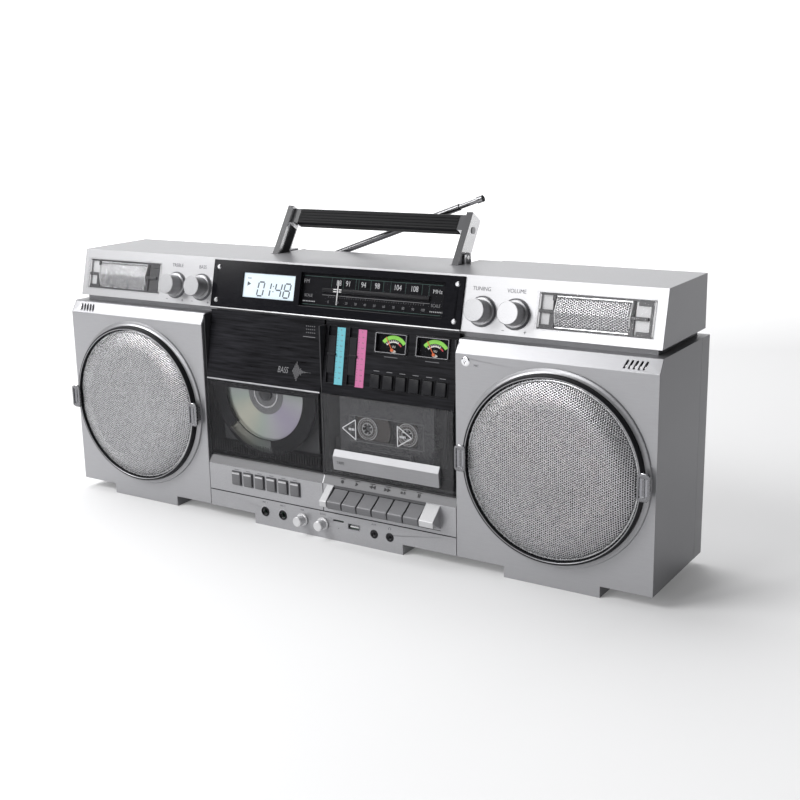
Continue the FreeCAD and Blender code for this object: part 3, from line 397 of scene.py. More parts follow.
def inset(limits, gap):
    return limits[0] + gap, limits[1] - gap


def block(x, y, z, radius=0.0, segments=2):
    """A block with rounded edges, between the two limits given for each axis."""
    bm = bmesh.new()
    bmesh.ops.create_cube(bm, size=1.0)
    size = [high - low for low, high in (x, y, z)]
    middle = [(high + low) / 2 for low, high in (x, y, z)]
    bm.transform(Matrix.Translation(middle) @ Matrix.Diagonal(size).to_4x4())
    if radius:
        bmesh.ops.bevel(bm, geom=bm.edges[:], offset=radius, segments=segments, profile=0.5, affect="EDGES")
    return bm


def turned(outline, x, z, steps=96, closed=False):
    """An outline of (radius, y) points turned about the line through x and z along Y."""
    verts, faces = [], []
    rows = []
    for r, y in outline:
        if r < 1e-6:
            rows.append([len(verts)] * steps)
            verts.append((x, y, z))
        else:
            first = len(verts)
            rows.append([first + i for i in range(steps)])
            for i in range(steps):
                a = 2 * math.pi * i / steps
                verts.append((x + r * math.cos(a), y, z + r * math.sin(a)))
    pairs = list(zip(rows, rows[1:])) + ([(rows[-1], rows[0])] if closed else [])
    for low, high in pairs:
        for i in range(steps):
            j = (i + 1) % steps
            corners = []
            for corner in (low[i], low[j], high[j], high[i]):
                if corner not in corners:
                    corners.append(corner)
            if len(corners) > 2:
                faces.append(corners)
    return shape(verts, faces)


def joined(first, second):
    """A solid between two outlines of as many points each."""
    count = len(first)
    faces = [range(count), range(2 * count - 1, count - 1, -1)]
    faces += [(i, (i + 1) % count, count + (i + 1) % count, count + i) for i in range(count)]
    return shape([*first, *second], faces)


def plug(radius, front, back):
    """The outline that turns into a solid disc."""
    return [(0, front), (radius, front), (radius, back), (0, back)]


def plate(outline, y):
    """A flat outline of (x, z) points, as thick as the two y limits."""
    return joined(*([(x, depth, z) for x, z in outline] for depth in y))


def bar(x, profile):
    """A side profile of (y, z) points, carried from one x limit to the other."""
    return joined(*([(across, y, z) for y, z in profile] for across in x))


def band(inner, outer, y):
    """A flat closed band between two outlines of as many (x, z) points each."""
    count = len(inner)
    verts = [(x, y[k], z) for k in (0, 1) for line in (inner, outer) for x, z in line]
    faces = []
    for i in range(count):
        j = (i + 1) % count
        faces.append((i, j, count + j, count + i))
        faces.append((2 * count + i, 3 * count + i, 3 * count + j, 2 * count + j))
        faces.append((i, 2 * count + i, 2 * count + j, j))
        faces.append((count + i, count + j, 3 * count + j, 3 * count + i))
    return shape(verts, faces)


def rounded(x, z, radius):
    """The outline of a rectangle with round corners."""
    points = []
    for cx, cz, start in (
        (x[1] - radius, z[1] - radius, 0),
        (x[0] + radius, z[1] - radius, 90),
        (x[0] + radius, z[0] + radius, 180),
        (x[1] - radius, z[0] + radius, 270),
    ):
        points += [spoke(cx, cz, start + degrees, (radius,))[0] for degrees in range(0, 91, 15)]
    return points


def spoke(x, z, degrees, radii):
    """Points at several radii about x and z, at an angle from the right that turns up."""
    a = math.radians(degrees)
    return [(x + r * math.cos(a), z + r * math.sin(a)) for r in radii]


def arc_band(x, z, radii, start, end, y, steps=24):
    """A flat slice of a ring between two angles, measured from the right and turning up."""
    angles = [start + (end - start) * i / steps for i in range(steps + 1)]
    outline = [spoke(x, z, angle, radii[:1])[0] for angle in angles]
    outline += [spoke(x, z, angle, radii[1:])[0] for angle in reversed(angles)]
    return plate(outline, y)


def stroke(points, width, y):
    """A line of flat bars through the points, with square ends."""
    out = []
    for (x0, z0), (x1, z1) in zip(points, points[1:]):
        length = math.hypot(x1 - x0, z1 - z0)
        nx, nz = (z0 - z1) / length * width / 2, (x1 - x0) / length * width / 2
        out.append(plate([(x0 + nx, z0 + nz), (x0 - nx, z0 - nz), (x1 - nx, z1 - nz), (x1 + nx, z1 + nz)], y))
    return out


LETTER_DEPTH = 0.08


def words(text, x, z, size, y, stretch=1.0, slant=0.0):
    """Solid lettering that faces forwards, with its middle line at z."""
    curve = bpy.data.curves.new("lettering", "FONT")
    curve.body = text
    curve.size = size
    curve.align_x = curve.align_y = "CENTER"
    curve.extrude = LETTER_DEPTH / 2
    curve.resolution_u = 4
    curve.shear = slant
    holder = bpy.data.objects.new("lettering", curve)
    mesh = bpy.data.meshes.new_from_object(holder)
    bm = bmesh.new()
    bm.from_mesh(mesh)
    bpy.data.objects.remove(holder)
    bpy.data.meshes.remove(mesh)
    bpy.data.curves.remove(curve)
    turn = Matrix.Rotation(math.radians(90), 4, "X")
    bm.transform(Matrix.Translation((x, y, z)) @ turn @ Matrix.Diagonal((stretch, 1, 1, 1)))
    return bm


def moved(bm, x=0.0, z=0.0):
    copy = bm.copy()
    copy.transform(Matrix.Translation((x, 0, z)))
    return copy


def painted(mat, shapes):
    """Shapes of one material, in the pairs that piece takes."""
    return [(bm, mat) for bm in shapes]


def blocks(mat, *rows):
    return painted(mat, (block(*row) for row in rows))


def piece(name, parts, place=PLAIN, body="cabinet", replaces=(), smooth=40.0, bevel=0.0):
    """Gathers (shape, material) pairs into one object that rides on a body."""
    mesh = bpy.data.meshes.new(name)
    total = bmesh.new()
    mats = []
    for bm, mat in parts:
        if mat not in mats:
            mats.append(mat)
        index = mats.index(mat)
        for face in bm.faces:
            face.material_index = index
        part = bpy.data.meshes.new("part")
        bm.to_mesh(part)
        total.from_mesh(part)
        bpy.data.meshes.remove(part)
    total.transform(place)
    for face in total.faces:
        face.smooth = True
    for edge in total.edges:
        if len(edge.link_faces) == 2 and edge.calc_face_angle(0.0) > math.radians(smooth):
            edge.smooth = False
    total.to_mesh(mesh)
    for mat in mats:
        mesh.materials.append(mat)
    obj = bpy.data.objects.new(name, mesh)
    bpy.context.scene.collection.objects.link(obj)
    if bevel:
        soften(obj, bevel)
    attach(obj, body)
    if replaces:
        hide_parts(*replaces)
    return obj


def cap_over(name, parts, place=PLAIN, bevel=0.0):
    """The drawn shape of a part that is pressed, in the place of its plain one."""
    piece(f"{name}_cap", parts, place=place, body=name, replaces=[name], bevel=bevel)


# Loudspeakers

SPEAKER_X, SPEAKER_Z = 231.5, 103.9
HOLE_PITCH, HOLE_R, FOLDED_HOLE_R = 2.08, 0.78, 0.80
SHEET = 0.6
FLAT_R, FLAT_Y, RIM_R, RIM_Y, FLANK_CURVE = 57.0, -11.55, 77.0, -4.6, 1.6
CELL_MARGIN, SHEET_REACH, CLIP_R, RING_STEPS = 1.6, 90, 81.4, 160


def dome(r):
    """The round grille's depth at a radius: a flat middle and a flank that falls to the rim."""
    t = min(1.0, max(0.0, (r - FLAT_R) / (RIM_R - FLAT_R)))
    return FLAT_Y + (RIM_Y - FLAT_Y) * t ** FLANK_CURVE


def perforated(inside, depth, hole):
    """A sheet of hexagonal cells, each with a hole, over the cells whose middle is inside."""
    column = HOLE_PITCH * math.sin(math.radians(60))
    reach = int(SHEET_REACH / column) + 1
    corner = HOLE_PITCH / math.sqrt(3)
    bm = bmesh.new()
    shared = {}

    def outer(x, z):
        key = (round(x * 50), round(z * 50))
        if key not in shared:
            shared[key] = bm.verts.new((x, depth(x, z), z))
        return shared[key]

    for i in range(-reach, reach + 1):
        for j in range(-reach, reach + 1):
            x, z = i * column, (j + (i % 2) / 2) * HOLE_PITCH
            if not inside(x, z):
                continue
            ring, rim = [], []
            for k in range(6):
                c, s = math.cos(math.radians(60 * k)), math.sin(math.radians(60 * k))
                ring.append(outer(x + corner * c, z + corner * s))
                hx, hz = x + hole * c, z + hole * s
                rim.append(bm.verts.new((hx, depth(hx, hz), hz)))
            for k in range(6):
                n = (k + 1) % 6
                bm.faces.new((ring[k], ring[n], rim[n], rim[k]))
    return bm


def grille(name, sheet, middle, place=PLAIN):
    """A perforated sheet, moved from the origin to its middle and given its thickness."""
    sheet.transform(Matrix.Translation(middle))
    bmesh.ops.recalc_face_normals(sheet, faces=sheet.faces)
    obj = piece(name, [(sheet, GRILLE)], place=place, replaces=["speaker_grilles"])
    thick = obj.modifiers.new("sheet_thickness", "SOLIDIFY")
    thick.thickness = SHEET * MM
    thick.offset = 0.0


def round_grille(name, x):
    sheet = perforated(
        lambda a, b: math.hypot(a, b) < RIM_R - CELL_MARGIN, lambda a, b: dome(math.hypot(a, b)), HOLE_R
    )
    grille(name, sheet, (x, 0, SPEAKER_Z))


def trim_ring(name, x):
    """The grille's rolled rim, the black collar round it and the silver surround."""
    rim = [
        (75.0, -5.45), (75.8, -5.7), (76.8, -5.3), (77.4, -4.6), (77.4, -3.4), (76.4, -3.4), (76.2, -4.3),
        (75.0, -4.8),
    ]
    collar = [
        (77.5, -4.0), (77.6, -7.0), (78.0, -8.0), (79.4, -8.1), (80.3, -7.4), (80.6, -6.2), (80.6, -2.4),
        (79.0, -1.8), (78.9, 2.4), (77.6, 2.4),
    ]
    bead = [(77.9, -7.9), (78.2, -8.2), (78.6, -8.2), (78.8, -7.9), (78.3, -7.6)]
    ring = [
        (80.5, -2.0), (80.7, -3.0), (81.2, -3.2), (82.0, -2.6), (83.0, -2.1), (84.0, -2.0), (84.8, -1.7),
        (85.2, -0.9), (85.2, 0.0), (80.6, 0.0),
    ]
    sections = ((rim, GRILLE), (collar, BLACK), (bead, TRIM), (ring, TRIM))
    parts = [(turned(section, x, SPEAKER_Z, RING_STEPS, True), mat) for section, mat in sections]
    piece(name, parts, replaces=["speaker_trim_rings"])


def ring_clips(name, x):
    """Two spring clips: a metal frame round a darker plate, a lug at each end and a bright post above."""
    parts = []
    for end in (-1, 1):
        middle = x + end * CLIP_R
        wide = about(middle, 5.2)
        tall = about(SPEAKER_Z, 10.6)
        inner = rounded(inset(wide, 1.7), inset(tall, 1.9), 0.8)
        parts.append((band(inner, rounded(wide, tall, 1.6), (-10.4, -8.3)), CLIP_METAL))
        parts.append((block(inset(wide, 1.2), (-9.2, -8.3), inset(tall, 1.2), 0.2), METAL_DARK))
        parts += blocks(
            CLIP_METAL,
            (about(middle, 1.2), (-9.9, -8.8), inset(tall, 3.2), 0.4),
            (about(middle, 3.4), (-9.8, -7.9), (tall[0] - 1.2, tall[0] + 3.4), 0.5),
            (about(middle, 3.4), (-9.8, -7.9), (tall[1] - 3.4, tall[1] + 1.2), 0.5),
            (sorted((middle - end * 1.2, middle + end * 3.2)), (-8.6, -1.0), about(SPEAKER_Z, 6.8), 0.4),
        )
        parts.append((block(about(middle, 2.0), (-10.2, -8.4), (tall[1] + 0.2, tall[1] + 1.4), 0.3), CHROME))
    piece(name, parts, bevel=0.25)


for side, sign in (("left", -1), ("right", 1)):
    round_grille(f"grille_{side}", sign * SPEAKER_X)
    trim_ring(f"trim_ring_{side}", sign * SPEAKER_X)
    ring_clips(f"ring_clips_{side}", sign * SPEAKER_X)


# Tweeters

PRISM_X, PRISM_UP = (223.0, 288.0), (10.1, 22.8, 35.9)
HORN_X, HORN_UP, TRAY_BACK = (206.5, 310.0), (6.0, 40.0), 18.6


def prism_depth(up):
    low, ridge, high = PRISM_UP
    if up < ridge:
        return 2.0 - 3.4 * max(0.0, (up - low) / (ridge - low))
    return -1.4 + 3.4 * min(1.0, (up - ridge) / (high - ridge))


def folded_grille(name, sign):
    low, ridge, high = PRISM_UP
    centre = (PRISM_X[0] + PRISM_X[1]) / 2
    wide = (PRISM_X[1] - PRISM_X[0]) / 2 - 0.9

    def inside(a, b):
        return abs(a) < wide and low + 0.8 < b + ridge < high - 0.8

    sheet = perforated(inside, lambda a, b: prism_depth(b + ridge), FOLDED_HOLE_R)
    middle = centre if sign > 0 else centre - sum(HORN_X)
    grille(name, sheet, (middle, 0, ridge), TOP)


def prism_frame():
    """The solid margin of the folded grille and its white triangular ends."""
    low, ridge, high = PRISM_UP
    end = [(2.2, low), (-1.5, ridge), (2.2, high), (9.0, high), (9.0, low)]
    parts = [(bar((x, x + 1.4), end), WHITE_CHEEK) for x in (PRISM_X[0], PRISM_X[1] - 1.4)]
    parts += blocks(GRILLE, *((PRISM_X, (1.4, 2.8), (up, up + 1.1), 0.2) for up in (low - 0.4, high - 0.7)))
    return parts


def tweeter(side, sign):
    """A dark tray with light cheeks, dark bars across its ends and a clear cover; dark blocks beside the
    prism's ends, and one cheek cell of the left tweeter, are painted shade.
    """
    left, right = HORN_X
    low, high = HORN_UP
    across, up_and_down = (left + 2.4, right - 2.4), (low + 2.4, high - 2.4)
    cell = (2.2, 3.4), (low + 2.6, high - 2.6), 0.3
    parts = prism_frame()
    parts += blocks(
        DARK_TRAY_AND_SHADE,
        (across, (TRAY_BACK, TRAY_BACK + 1.3), up_and_down),
        *((across, (0.1, TRAY_BACK), (up, up + 1.3)) for up in (low + 2.4, high - 3.7)),
    )
    parts += blocks(
        WHITE_CHEEK,
        *(((x, x + 1.3), (0.1, TRAY_BACK), up_and_down) for x in (left + 2.4, right - 3.7)),
        ((left + 2.6, left + 13.8), *cell),
    )
    # Painted shade: this cheek cell is white in the right tweeter and painted dark in the left one.
    parts += blocks(WHITE_CHEEK if sign > 0 else DARK_TRAY_AND_SHADE, ((right - 19.0, right - 6.4), *cell))
    parts += blocks(
        DARK_TRAY_AND_SHADE,
        ((right - 6.6, right - 3.2), (0.6, 4.0), (low + 2.6, high - 2.6), 0.3),
        ((right - 17.0, right - 5.0), (0.4, 4.2), (high - 7.0, high - 2.8), 0.4),
        ((right - 17.0, right - 5.0), (0.4, 4.2), (low + 2.8, low + 6.6), 0.4),
        ((right - 24.0, right - 7.6), (-0.6, 4.2), (21.4, 24.2), 0.4),
        # Painted shadow of the prism's right end, below the fold.
        ((right - 23.5, right - 19.0), (0.8, 4.0), (low + 3.0, 22.0), 0.3),
        ((left + 2.8, left + 17.0), (-0.6, 4.2), (21.4, 24.2), 0.4),
        ((left + 2.8, left + 17.0), (0.4, 4.2), (low + 2.8, low + 6.0), 0.4),
        # Painted shade beside the prism's left end, below and above the fold.
        ((left + 12.0, left + 16.6), (0.8, 4.0), (low + 5.0, 22.0), 0.3),
        ((left + 13.2, left + 16.0), (0.8, 4.0), (high - 8.0, high - 2.6), 0.3),
    )
    if sign < 0:
        parts = [(moved(bm, -left - right), mat) for bm, mat in parts]
    wide = sorted((sign * left, sign * right))
    piece(f"tweeter_horn_{side}", parts, place=TOP, replaces=["tweeter_horns"], bevel=0.15)
    cover = rounded(inset(wide, 0.8), (low + 0.8, high - 0.8), 1.2)
    lip = rounded(inset(wide, 2.2), (low + 2.2, high - 2.2), 0.8)
    piece(
        f"tweeter_window_{side}",
        [(plate(lip, (-2.6, -2.1)), CLEAR), (band(lip, cover, (-2.6, -0.4)), CLEAR)],
        place=TOP,
    )
    folded_grille(f"tweeter_grille_{side}", sign)


for side, sign in (("left", -1), ("right", 1)):
    tweeter(side, sign)


# Knobs on the top front

KNOB_UP = 18.0
KNOBS = {"treble_knob": -186.6, "bass_knob": -153.6, "tuning_knob": 157.2, "volume_knob": 188.6}


def top_knob(name, x):
    """A satin drum with a flat face and a rounded edge, over a wider skirt at the panel."""
    outline = [(0.0, -15.8), (9.2, -15.8), (9.6, -15.5), (9.8, -15.0), (9.8, -3.6), (9.5, -3.1)]
    skirt = [(9.5, -3.1), (11.4, -2.9), (11.9, -2.3), (12.0, -0.5), (3.0, -0.4), (3.0, 5.9), (0.0, 5.9)]
    piece(
        f"{name}_turned",
        [(turned(outline + skirt, x, KNOB_UP, 96), SATIN)],
        place=TOP,
        body=name,
        replaces=[name],
        smooth=28,
    )


for name, x in KNOBS.items():
    top_knob(name, x)

# Painted shadow: a flat dark ring round the foot of each knob, where the knob shades the panel.
shadow_ring = [(12.1, -0.35), (13.3, -0.35), (13.3, 0.3), (12.1, 0.3)]
shadows = painted(DARK_PRINT_AND_SHADE, (turned(shadow_ring, x, KNOB_UP, 96, True) for x in KNOBS.values()))
piece("knob_shadow_rings", shadows, place=TOP)


# Printing on the top front

print_parts = []
KNOB_WORDS = (
    ("TREBLE", -186.6, 37.6), ("BASS", -154.0, 37.6), ("TUNING", 154.8, 37.0), ("VOLUME", 187.4, 37.0)
)
for text, x, up in KNOB_WORDS:
    print_parts.append((words(text, x, up, 4.9, -0.06, stretch=0.92), DARK_PRINT_AND_SHADE))
for x in (-186.6, -153.6, 188.6):
    print_parts += blocks(
        DARK_PRINT_AND_SHADE,
        ((x - 11.4, x - 9.0), (-0.1, 0.0), (3.4, 3.9)),
        ((x + 9.0, x + 11.4), (-0.1, 0.0), (3.4, 3.9)),
        ((x + 9.95, x + 10.45), (-0.1, 0.0), (2.4, 4.9)),
    )
piece("top_front_print", print_parts, place=TOP)


# Display and tuning scale

LCD_X, LCD_UP = (-101.3, -39.4), (12.2, 35.9)
PRINT_Y = (-0.06, 0.02)
SEGMENTS = {"0": "abcdef", "1": "bc", "4": "bcfg", "8": "abcdefg"}
DIGIT_SLANT = 0.16


def digit(character, x, low, wide, tall):
    """A seven-segment figure that leans to the right."""
    half = tall / 2
    bars = {
        "a": ((0, tall), (wide, tall)), "b": ((wide, tall), (wide, half)), "c": ((wide, half), (wide, 0)),
        "d": ((0, 0), (wide, 0)), "e": ((0, half), (0, 0)), "f": ((0, tall), (0, half)),
        "g": ((0, half), (wide, half)),
    }
    out = []
    for key in SEGMENTS[character]:
        (x0, z0), (x1, z1) = bars[key]
        length = math.hypot(x1 - x0, z1 - z0)
        dx, dz = (x1 - x0) / length * 0.7, (z1 - z0) / length * 0.7
        ends = [(x0 + dx, z0 + dz), (x1 - dx, z1 - dz)]
        ends = [(x + px + pz * DIGIT_SLANT, low + pz) for px, pz in ends]
        out += stroke(ends, 1.35, (-0.10, 0.02))
    return out


glass = [(plate(rounded(inset(LCD_X, 0.3), inset(LCD_UP, 0.3), 0.4), (0.0, 0.18)), LCD)]
piece("lcd_screen", glass, place=TOP)
figures = []
for character, x in (("0", -84.4), ("1", -76.4), ("4", -63.6), ("8", -53.4)):
    figures += painted(SEGMENT, digit(character, x, 14.6, 6.8, 13.2))
for up in (19.0, 24.0):
    figures.append((block((-65.7, -64.6), PRINT_Y, (up, up + 1.1)), SEGMENT))
figures.append((plate([(-96.4, 27.6), (-96.4, 23.2), (-92.0, 25.4)], PRINT_Y), SEGMENT))
for i in range(5):
    figures.append((block((-96.4 + i * 0.9, -95.9 + i * 0.9), PRINT_Y, (30.2, 31.2)), SEGMENT))
piece("lcd_figures", figures, place=TOP)

DIAL_X, DIAL_UP, SCALE_Y = (-33.0, 120.0), (9.0, 40.0), (0.46, 0.54)
SCALE_X, SCALE_PITCH = -1.4, 10.06
white = [
    (words("FM", -27.4, 32.1, 5.2, 0.5), GREY_PRINT),
    (words("MHz", 112.2, 31.4, 5.0, 0.5), WHITE_PRINT),
]
for text, x in (("88", 8.6), ("91", 18.8), ("94", 35.4), ("98", 50.0), ("104", 71.4), ("108", 88.6)):
    white.append((words(text, x, 32.2, 7.0, 0.5, stretch=0.78), WHITE_PRINT))
for text, x in (("SCALE", -24.0), ("SCALE", 111.6)):
    white.append((words(text, x, 19.2, 3.9, 0.5, stretch=0.85), GREY_PRINT))
for i in range(8):
    for x in (-29.8, 106.2):
        white.append((block((x + i * 1.8, x + 0.9 + i * 1.8), SCALE_Y, (13.4, 14.4)), WHITE_PRINT))
for i in range(11):
    white.append((words(str(i * 10), SCALE_X + i * SCALE_PITCH, 14.6, 3.2, 0.5, stretch=0.85), GREY_PRINT))
for i in range(41):
    x = SCALE_X + i * SCALE_PITCH / 4
    tall = 1.6 if i % 4 == 0 else 0.9
    white.append((block(about(x, 0.12), SCALE_Y, (18.6, 18.6 + tall)), GREY_PRINT))
piece("dial_print", white, place=TOP)
lines = blocks(GREEN_LINE, *(((-30.0, 117.0), SCALE_Y, (up, up + 0.28)) for up in (37.0, 10.9)))
columns = (0.5, 13.4, 27.0, 30.0, 43.0, 56.4, 64.0, 79.6, 96.4, 103.5)
lines += blocks(GREEN_LINE, *(((x, x + 0.22), SCALE_Y, (27.6, 37.0)) for x in columns))
piece("dial_lines", lines, place=TOP)
channel = [(block((-10.0, 104.0), (1.2, 3.1), (23.4, 27.2), 0.3), BLACK)]
channel.append((block((-10.0, 104.0), (2.2, 3.0), (20.6, 21.0)), GREY_PRINT))
piece("dial_channel", channel, place=TOP)
pointer = [(block((6.95, 7.85), (1.0, 1.5), (12.4, 34.2), 0.15), NEEDLE)]
for up in (24.0, 26.0):
    pointer += blocks(
        NEEDLE,
        ((2.6, 6.4), (1.0, 1.5), (up, up + 0.9), 0.15),
        ((8.6, 11.6), (1.0, 1.5), (up, up + 0.9), 0.15),
    )
piece("dial_pointer", pointer, place=TOP, body="dial_needle", replaces=["dial_needle"])
cover = [(plate(rounded(inset(DIAL_X, 0.4), inset(DIAL_UP, 0.4), 0.6), (-0.9, -0.5)), COVER)]
piece("dial_window", cover, place=TOP)

under = [(block((-138.4, 138.4), (-1.5, 0.1), (-0.35, 0.7), 0.2), BRIGHT)]
piece("bezel_underline", under, place=TOP)


# Sliders, meters and switches on the leaning panel

LABEL_X = ((11.8, 21.0), (34.9, 44.1))
labels = []
for (x0, x1), mat in zip(LABEL_X, (CYAN, PINK)):
    labels.append((plate(rounded((x0, x1), (9.4, 61.6), 0.4), (-0.16, 0.02)), mat))
for index, (x0, x1) in enumerate(LABEL_X):
    middle = (x0 + x1) / 2
    for step in range(9):
        up = 15.5 + step * 4.9
        figure = words(str(abs(4 - step)), 0, 0, 3.3, 0.0)
        turn = Matrix.Translation((middle + 1.0, -0.18, up)) @ Matrix.Rotation(math.radians(90), 4, "Y")
        figure.transform(turn)
        labels.append((figure, DARK_PRINT_AND_SHADE))
        labels += blocks(
            DARK_PRINT_AND_SHADE,
            ((x0 + 0.6, x0 + 2.2), (-0.2, -0.12), about(up, 0.2)),
            ((x0 + 0.6, x0 + 1.5), (-0.2, -0.12), (up + 2.2, up + 2.5)),
        )
    labels.append((words("+", middle, 59.2, 3.6, -0.16), DARK_PRINT_AND_SHADE))
    labels.append((words("-", middle, 11.4, 3.6, -0.16), DARK_PRINT_AND_SHADE))
piece("slider_labels", labels, place=PANEL)

frames = []
for x0 in (3.0, 26.0):
    inner = rounded((x0, x0 + 8.5), (10.5, 62.5), 0.3)
    frames.append((band(inner, rounded((x0 - 0.7, x0 + 9.0), (9.8, 63.2), 0.5), (-0.5, 0.1)), BLACK))
piece("slider_frames", frames, place=PANEL)

METER_X, METER_UP = (70.7, 113.2), 52.0
for side, x in (("left", METER_X[0]), ("right", METER_X[1])):
    wide, tall = about(x, 15.2), about(METER_UP, 7.8)
    pivot, centre = METER_UP - 8.6, x + 1.2
    face = [(plate(rounded(wide, tall, 0.5), (1.9, 2.3)), METER_FACE)]
    face.append((arc_band(centre, pivot, (12.3, 15.7), 38, 140, (1.7, 1.9)), METER_GREEN))
    face.append((arc_band(centre, pivot, (9.4, 10.4), 62, 136, (1.7, 1.9)), METER_WHITE))
    face.append((arc_band(centre, pivot, (9.4, 10.6), 40, 60, (1.7, 1.9)), METER_RED))
    for i in range(8):
        points = spoke(centre, pivot, 134 - i * 10, (10.2, 11.8))
        face += painted(METER_WHITE, stroke(points, 0.5, (1.7, 1.9)))
    face.append((arc_band(centre, pivot, (0.2, 3.0), 25, 155, (1.6, 1.9)), METER_WHITE))
    face.append((words("VU", centre, METER_UP - 3.0, 2.8, 1.8), METER_WHITE))
    piece(f"meter_scale_{side}", face, place=PANEL)
    outer = rounded(about(x, 17.2), about(METER_UP, 9.8), 1.2)
    inner = rounded(about(x, 15.6), about(METER_UP, 8.2), 0.8)
    lens = [(band(inner, outer, (-2.0, 0.0)), CLEAR), (plate(inner, (-1.9, -1.5)), COVER)]
    lens.append((band(inner, rounded(about(x, 16.0), about(METER_UP, 8.6), 1.0), (-2.1, -1.9)), EDGE))
    piece(f"meter_lens_{side}", lens, place=PANEL)

SWITCH_X, SWITCH_PITCH, SWITCH_UP = 57.0, 13.6, 17.0
captions = []
for x in METER_X:
    captions.append((block(about(x, 7.0), PRINT_Y, (METER_UP - 12.6, METER_UP - 12.0)), DARK_PRINT_AND_SHADE))
for i in range(6):
    x = SWITCH_X + i * SWITCH_PITCH
    captions.append((block(about(x, 3.0), PRINT_Y, (26.0, 26.5)), GREY_PRINT))
piece("panel_captions", captions, place=PANEL)

for i in range(6):
    x = SWITCH_X + i * SWITCH_PITCH
    cap = block(about(x, 4.9), (-2.4, 3.2), about(SWITCH_UP, 6.2), 0.7, 3)
    flange = block(about(x, 5.8), (2.8, 3.9), about(SWITCH_UP, 7.1))
    name = f"function_button_{i + 1}"
    cap_over(name, painted(BLACK, (cap, flange)), PANEL)
surrounds = []
for i in range(6):
    x = SWITCH_X + i * SWITCH_PITCH
    inner = rounded(about(x, 5.3), about(SWITCH_UP, 6.6), 0.5)
    surrounds.append((band(inner, rounded(about(x, 6.0), about(SWITCH_UP, 7.3), 0.7), (-0.5, 0.05)), BLACK))
piece("function_button_surrounds", surrounds, place=PANEL)


# Printing on the disc door

door_print = [(words("BASS", -47.0, 16.4, 8.2, -0.06, stretch=0.70, slant=0.25), GREY_PRINT)]
heights = (2.0, 6.0, 10.5, 14.5, 18.0, 12.0, 9.0, 5.0, 6.5, 3.0, 2.2, 1.4, 1.2, 0.9, 0.7, 0.5, 0.4, 0.4, 0.3)
for i, tall in enumerate(heights):
    x = -35.6 + i * 1.15
    door_print.append((block((x, x + 0.42), (-0.1, 0.0), (16.8 - tall / 2, 16.8 + tall / 2)), GREY_PRINT))
for row in range(3):
    for column in range(5):
        x, up = -23.4 + column * 2.3 + row * 0.3, 59.4 - row * 3.0
        door_print.append((block((x, x + 0.8), (-0.1, 0.0), (up, up + 0.8)), GREY_PRINT))
door_print.append((block((-26.0, -12.4), (-0.1, 0.0), (49.6, 50.1)), GREY_PRINT))
piece("disc_door_print", door_print, place=PANEL, body="cd_door")


edge_line = [(block((-138.0, -2.6), (-0.9, 0.1), (-0.9, 0.5), 0.2), EDGE)]
piece("disc_window_edge", edge_line, place=PANEL, body="cd_door")
ribs = blocks(DARK_TRAY_AND_SHADE, *(((x, x + 0.5), (2.6, 3.3), (68.5, 79.0), 0.1) for x in range(-134, -4, 3)))
piece("disc_window_ribs", ribs, body="cd_door")


# Disc bay: the door's dark inner ring, open at the lower left, and the centre clamp

shield = [(arc_band(DISC_X, DISC_Z, (46.5, 61.5), 277, 581, (11.6, 12.4), 120), MASK)]
# Painted shade: a smoked sheet over the opening greys the disc's outer part seen through it.
shield.append((arc_band(DISC_X, DISC_Z, (46.8, 58.6), 221, 277, (12.6, 13.0), 30), SMOKED_AND_SHADE))
shield.append((arc_band(DISC_X, DISC_Z, (46.0, 46.8), 221, 277, (12.4, 13.1), 30), MASK))
shield.append((arc_band(DISC_X, DISC_Z, (58.6, 61.5), 221, 277, (11.6, 12.4), 30), MASK))
piece("disc_shield", shield, body="cd_door")
clamp = [(0.0, 12.6), (5.0, 12.6), (6.6, 13.2), (7.0, 14.4), (7.0, 14.95), (0.0, 14.95)]
ring = [(13.2, 14.6), (14.4, 14.6), (14.4, 14.98), (13.2, 14.98)]
piece(
    "disc_clamp",
    [(turned(clamp, DISC_X, DISC_Z, 48), MECHANISM), (turned(ring, DISC_X, DISC_Z, 64, True), CHROME)],
)


# Tape door

def outline_triangle(x, z, direction):
    tip, edge = (x + direction * 8.0, z), x - direction * 6.6
    return [tip, (edge, z + 9.4), (edge, z - 9.4), tip]


arrows = []
for x, direction in ((30.8, -1), (88.6, 1)):
    arrows += painted(WHITE_PRINT, stroke(outline_triangle(x, 111.6, direction), 0.9, (-0.64, -0.5)))
    for i in range(4):
        a = x - 2.6 - direction * 1.6 + i * 1.7
        arrows.append((block((a, a + 1.0), (-0.6, -0.5), (110.4, 112.6)), WHITE_PRINT))
piece("tape_door_arrows", arrows, body="tape_door")
caption = words("TAPE", 0, 0, 4.2, 0.0, stretch=0.9)
caption.transform(Matrix.Translation((21.4, -3.62, 78.4)) @ Matrix.Rotation(math.radians(6), 4, "X"))
piece("tape_door_caption", [(caption, DARK_PRINT_AND_SHADE)], body="tape_door")

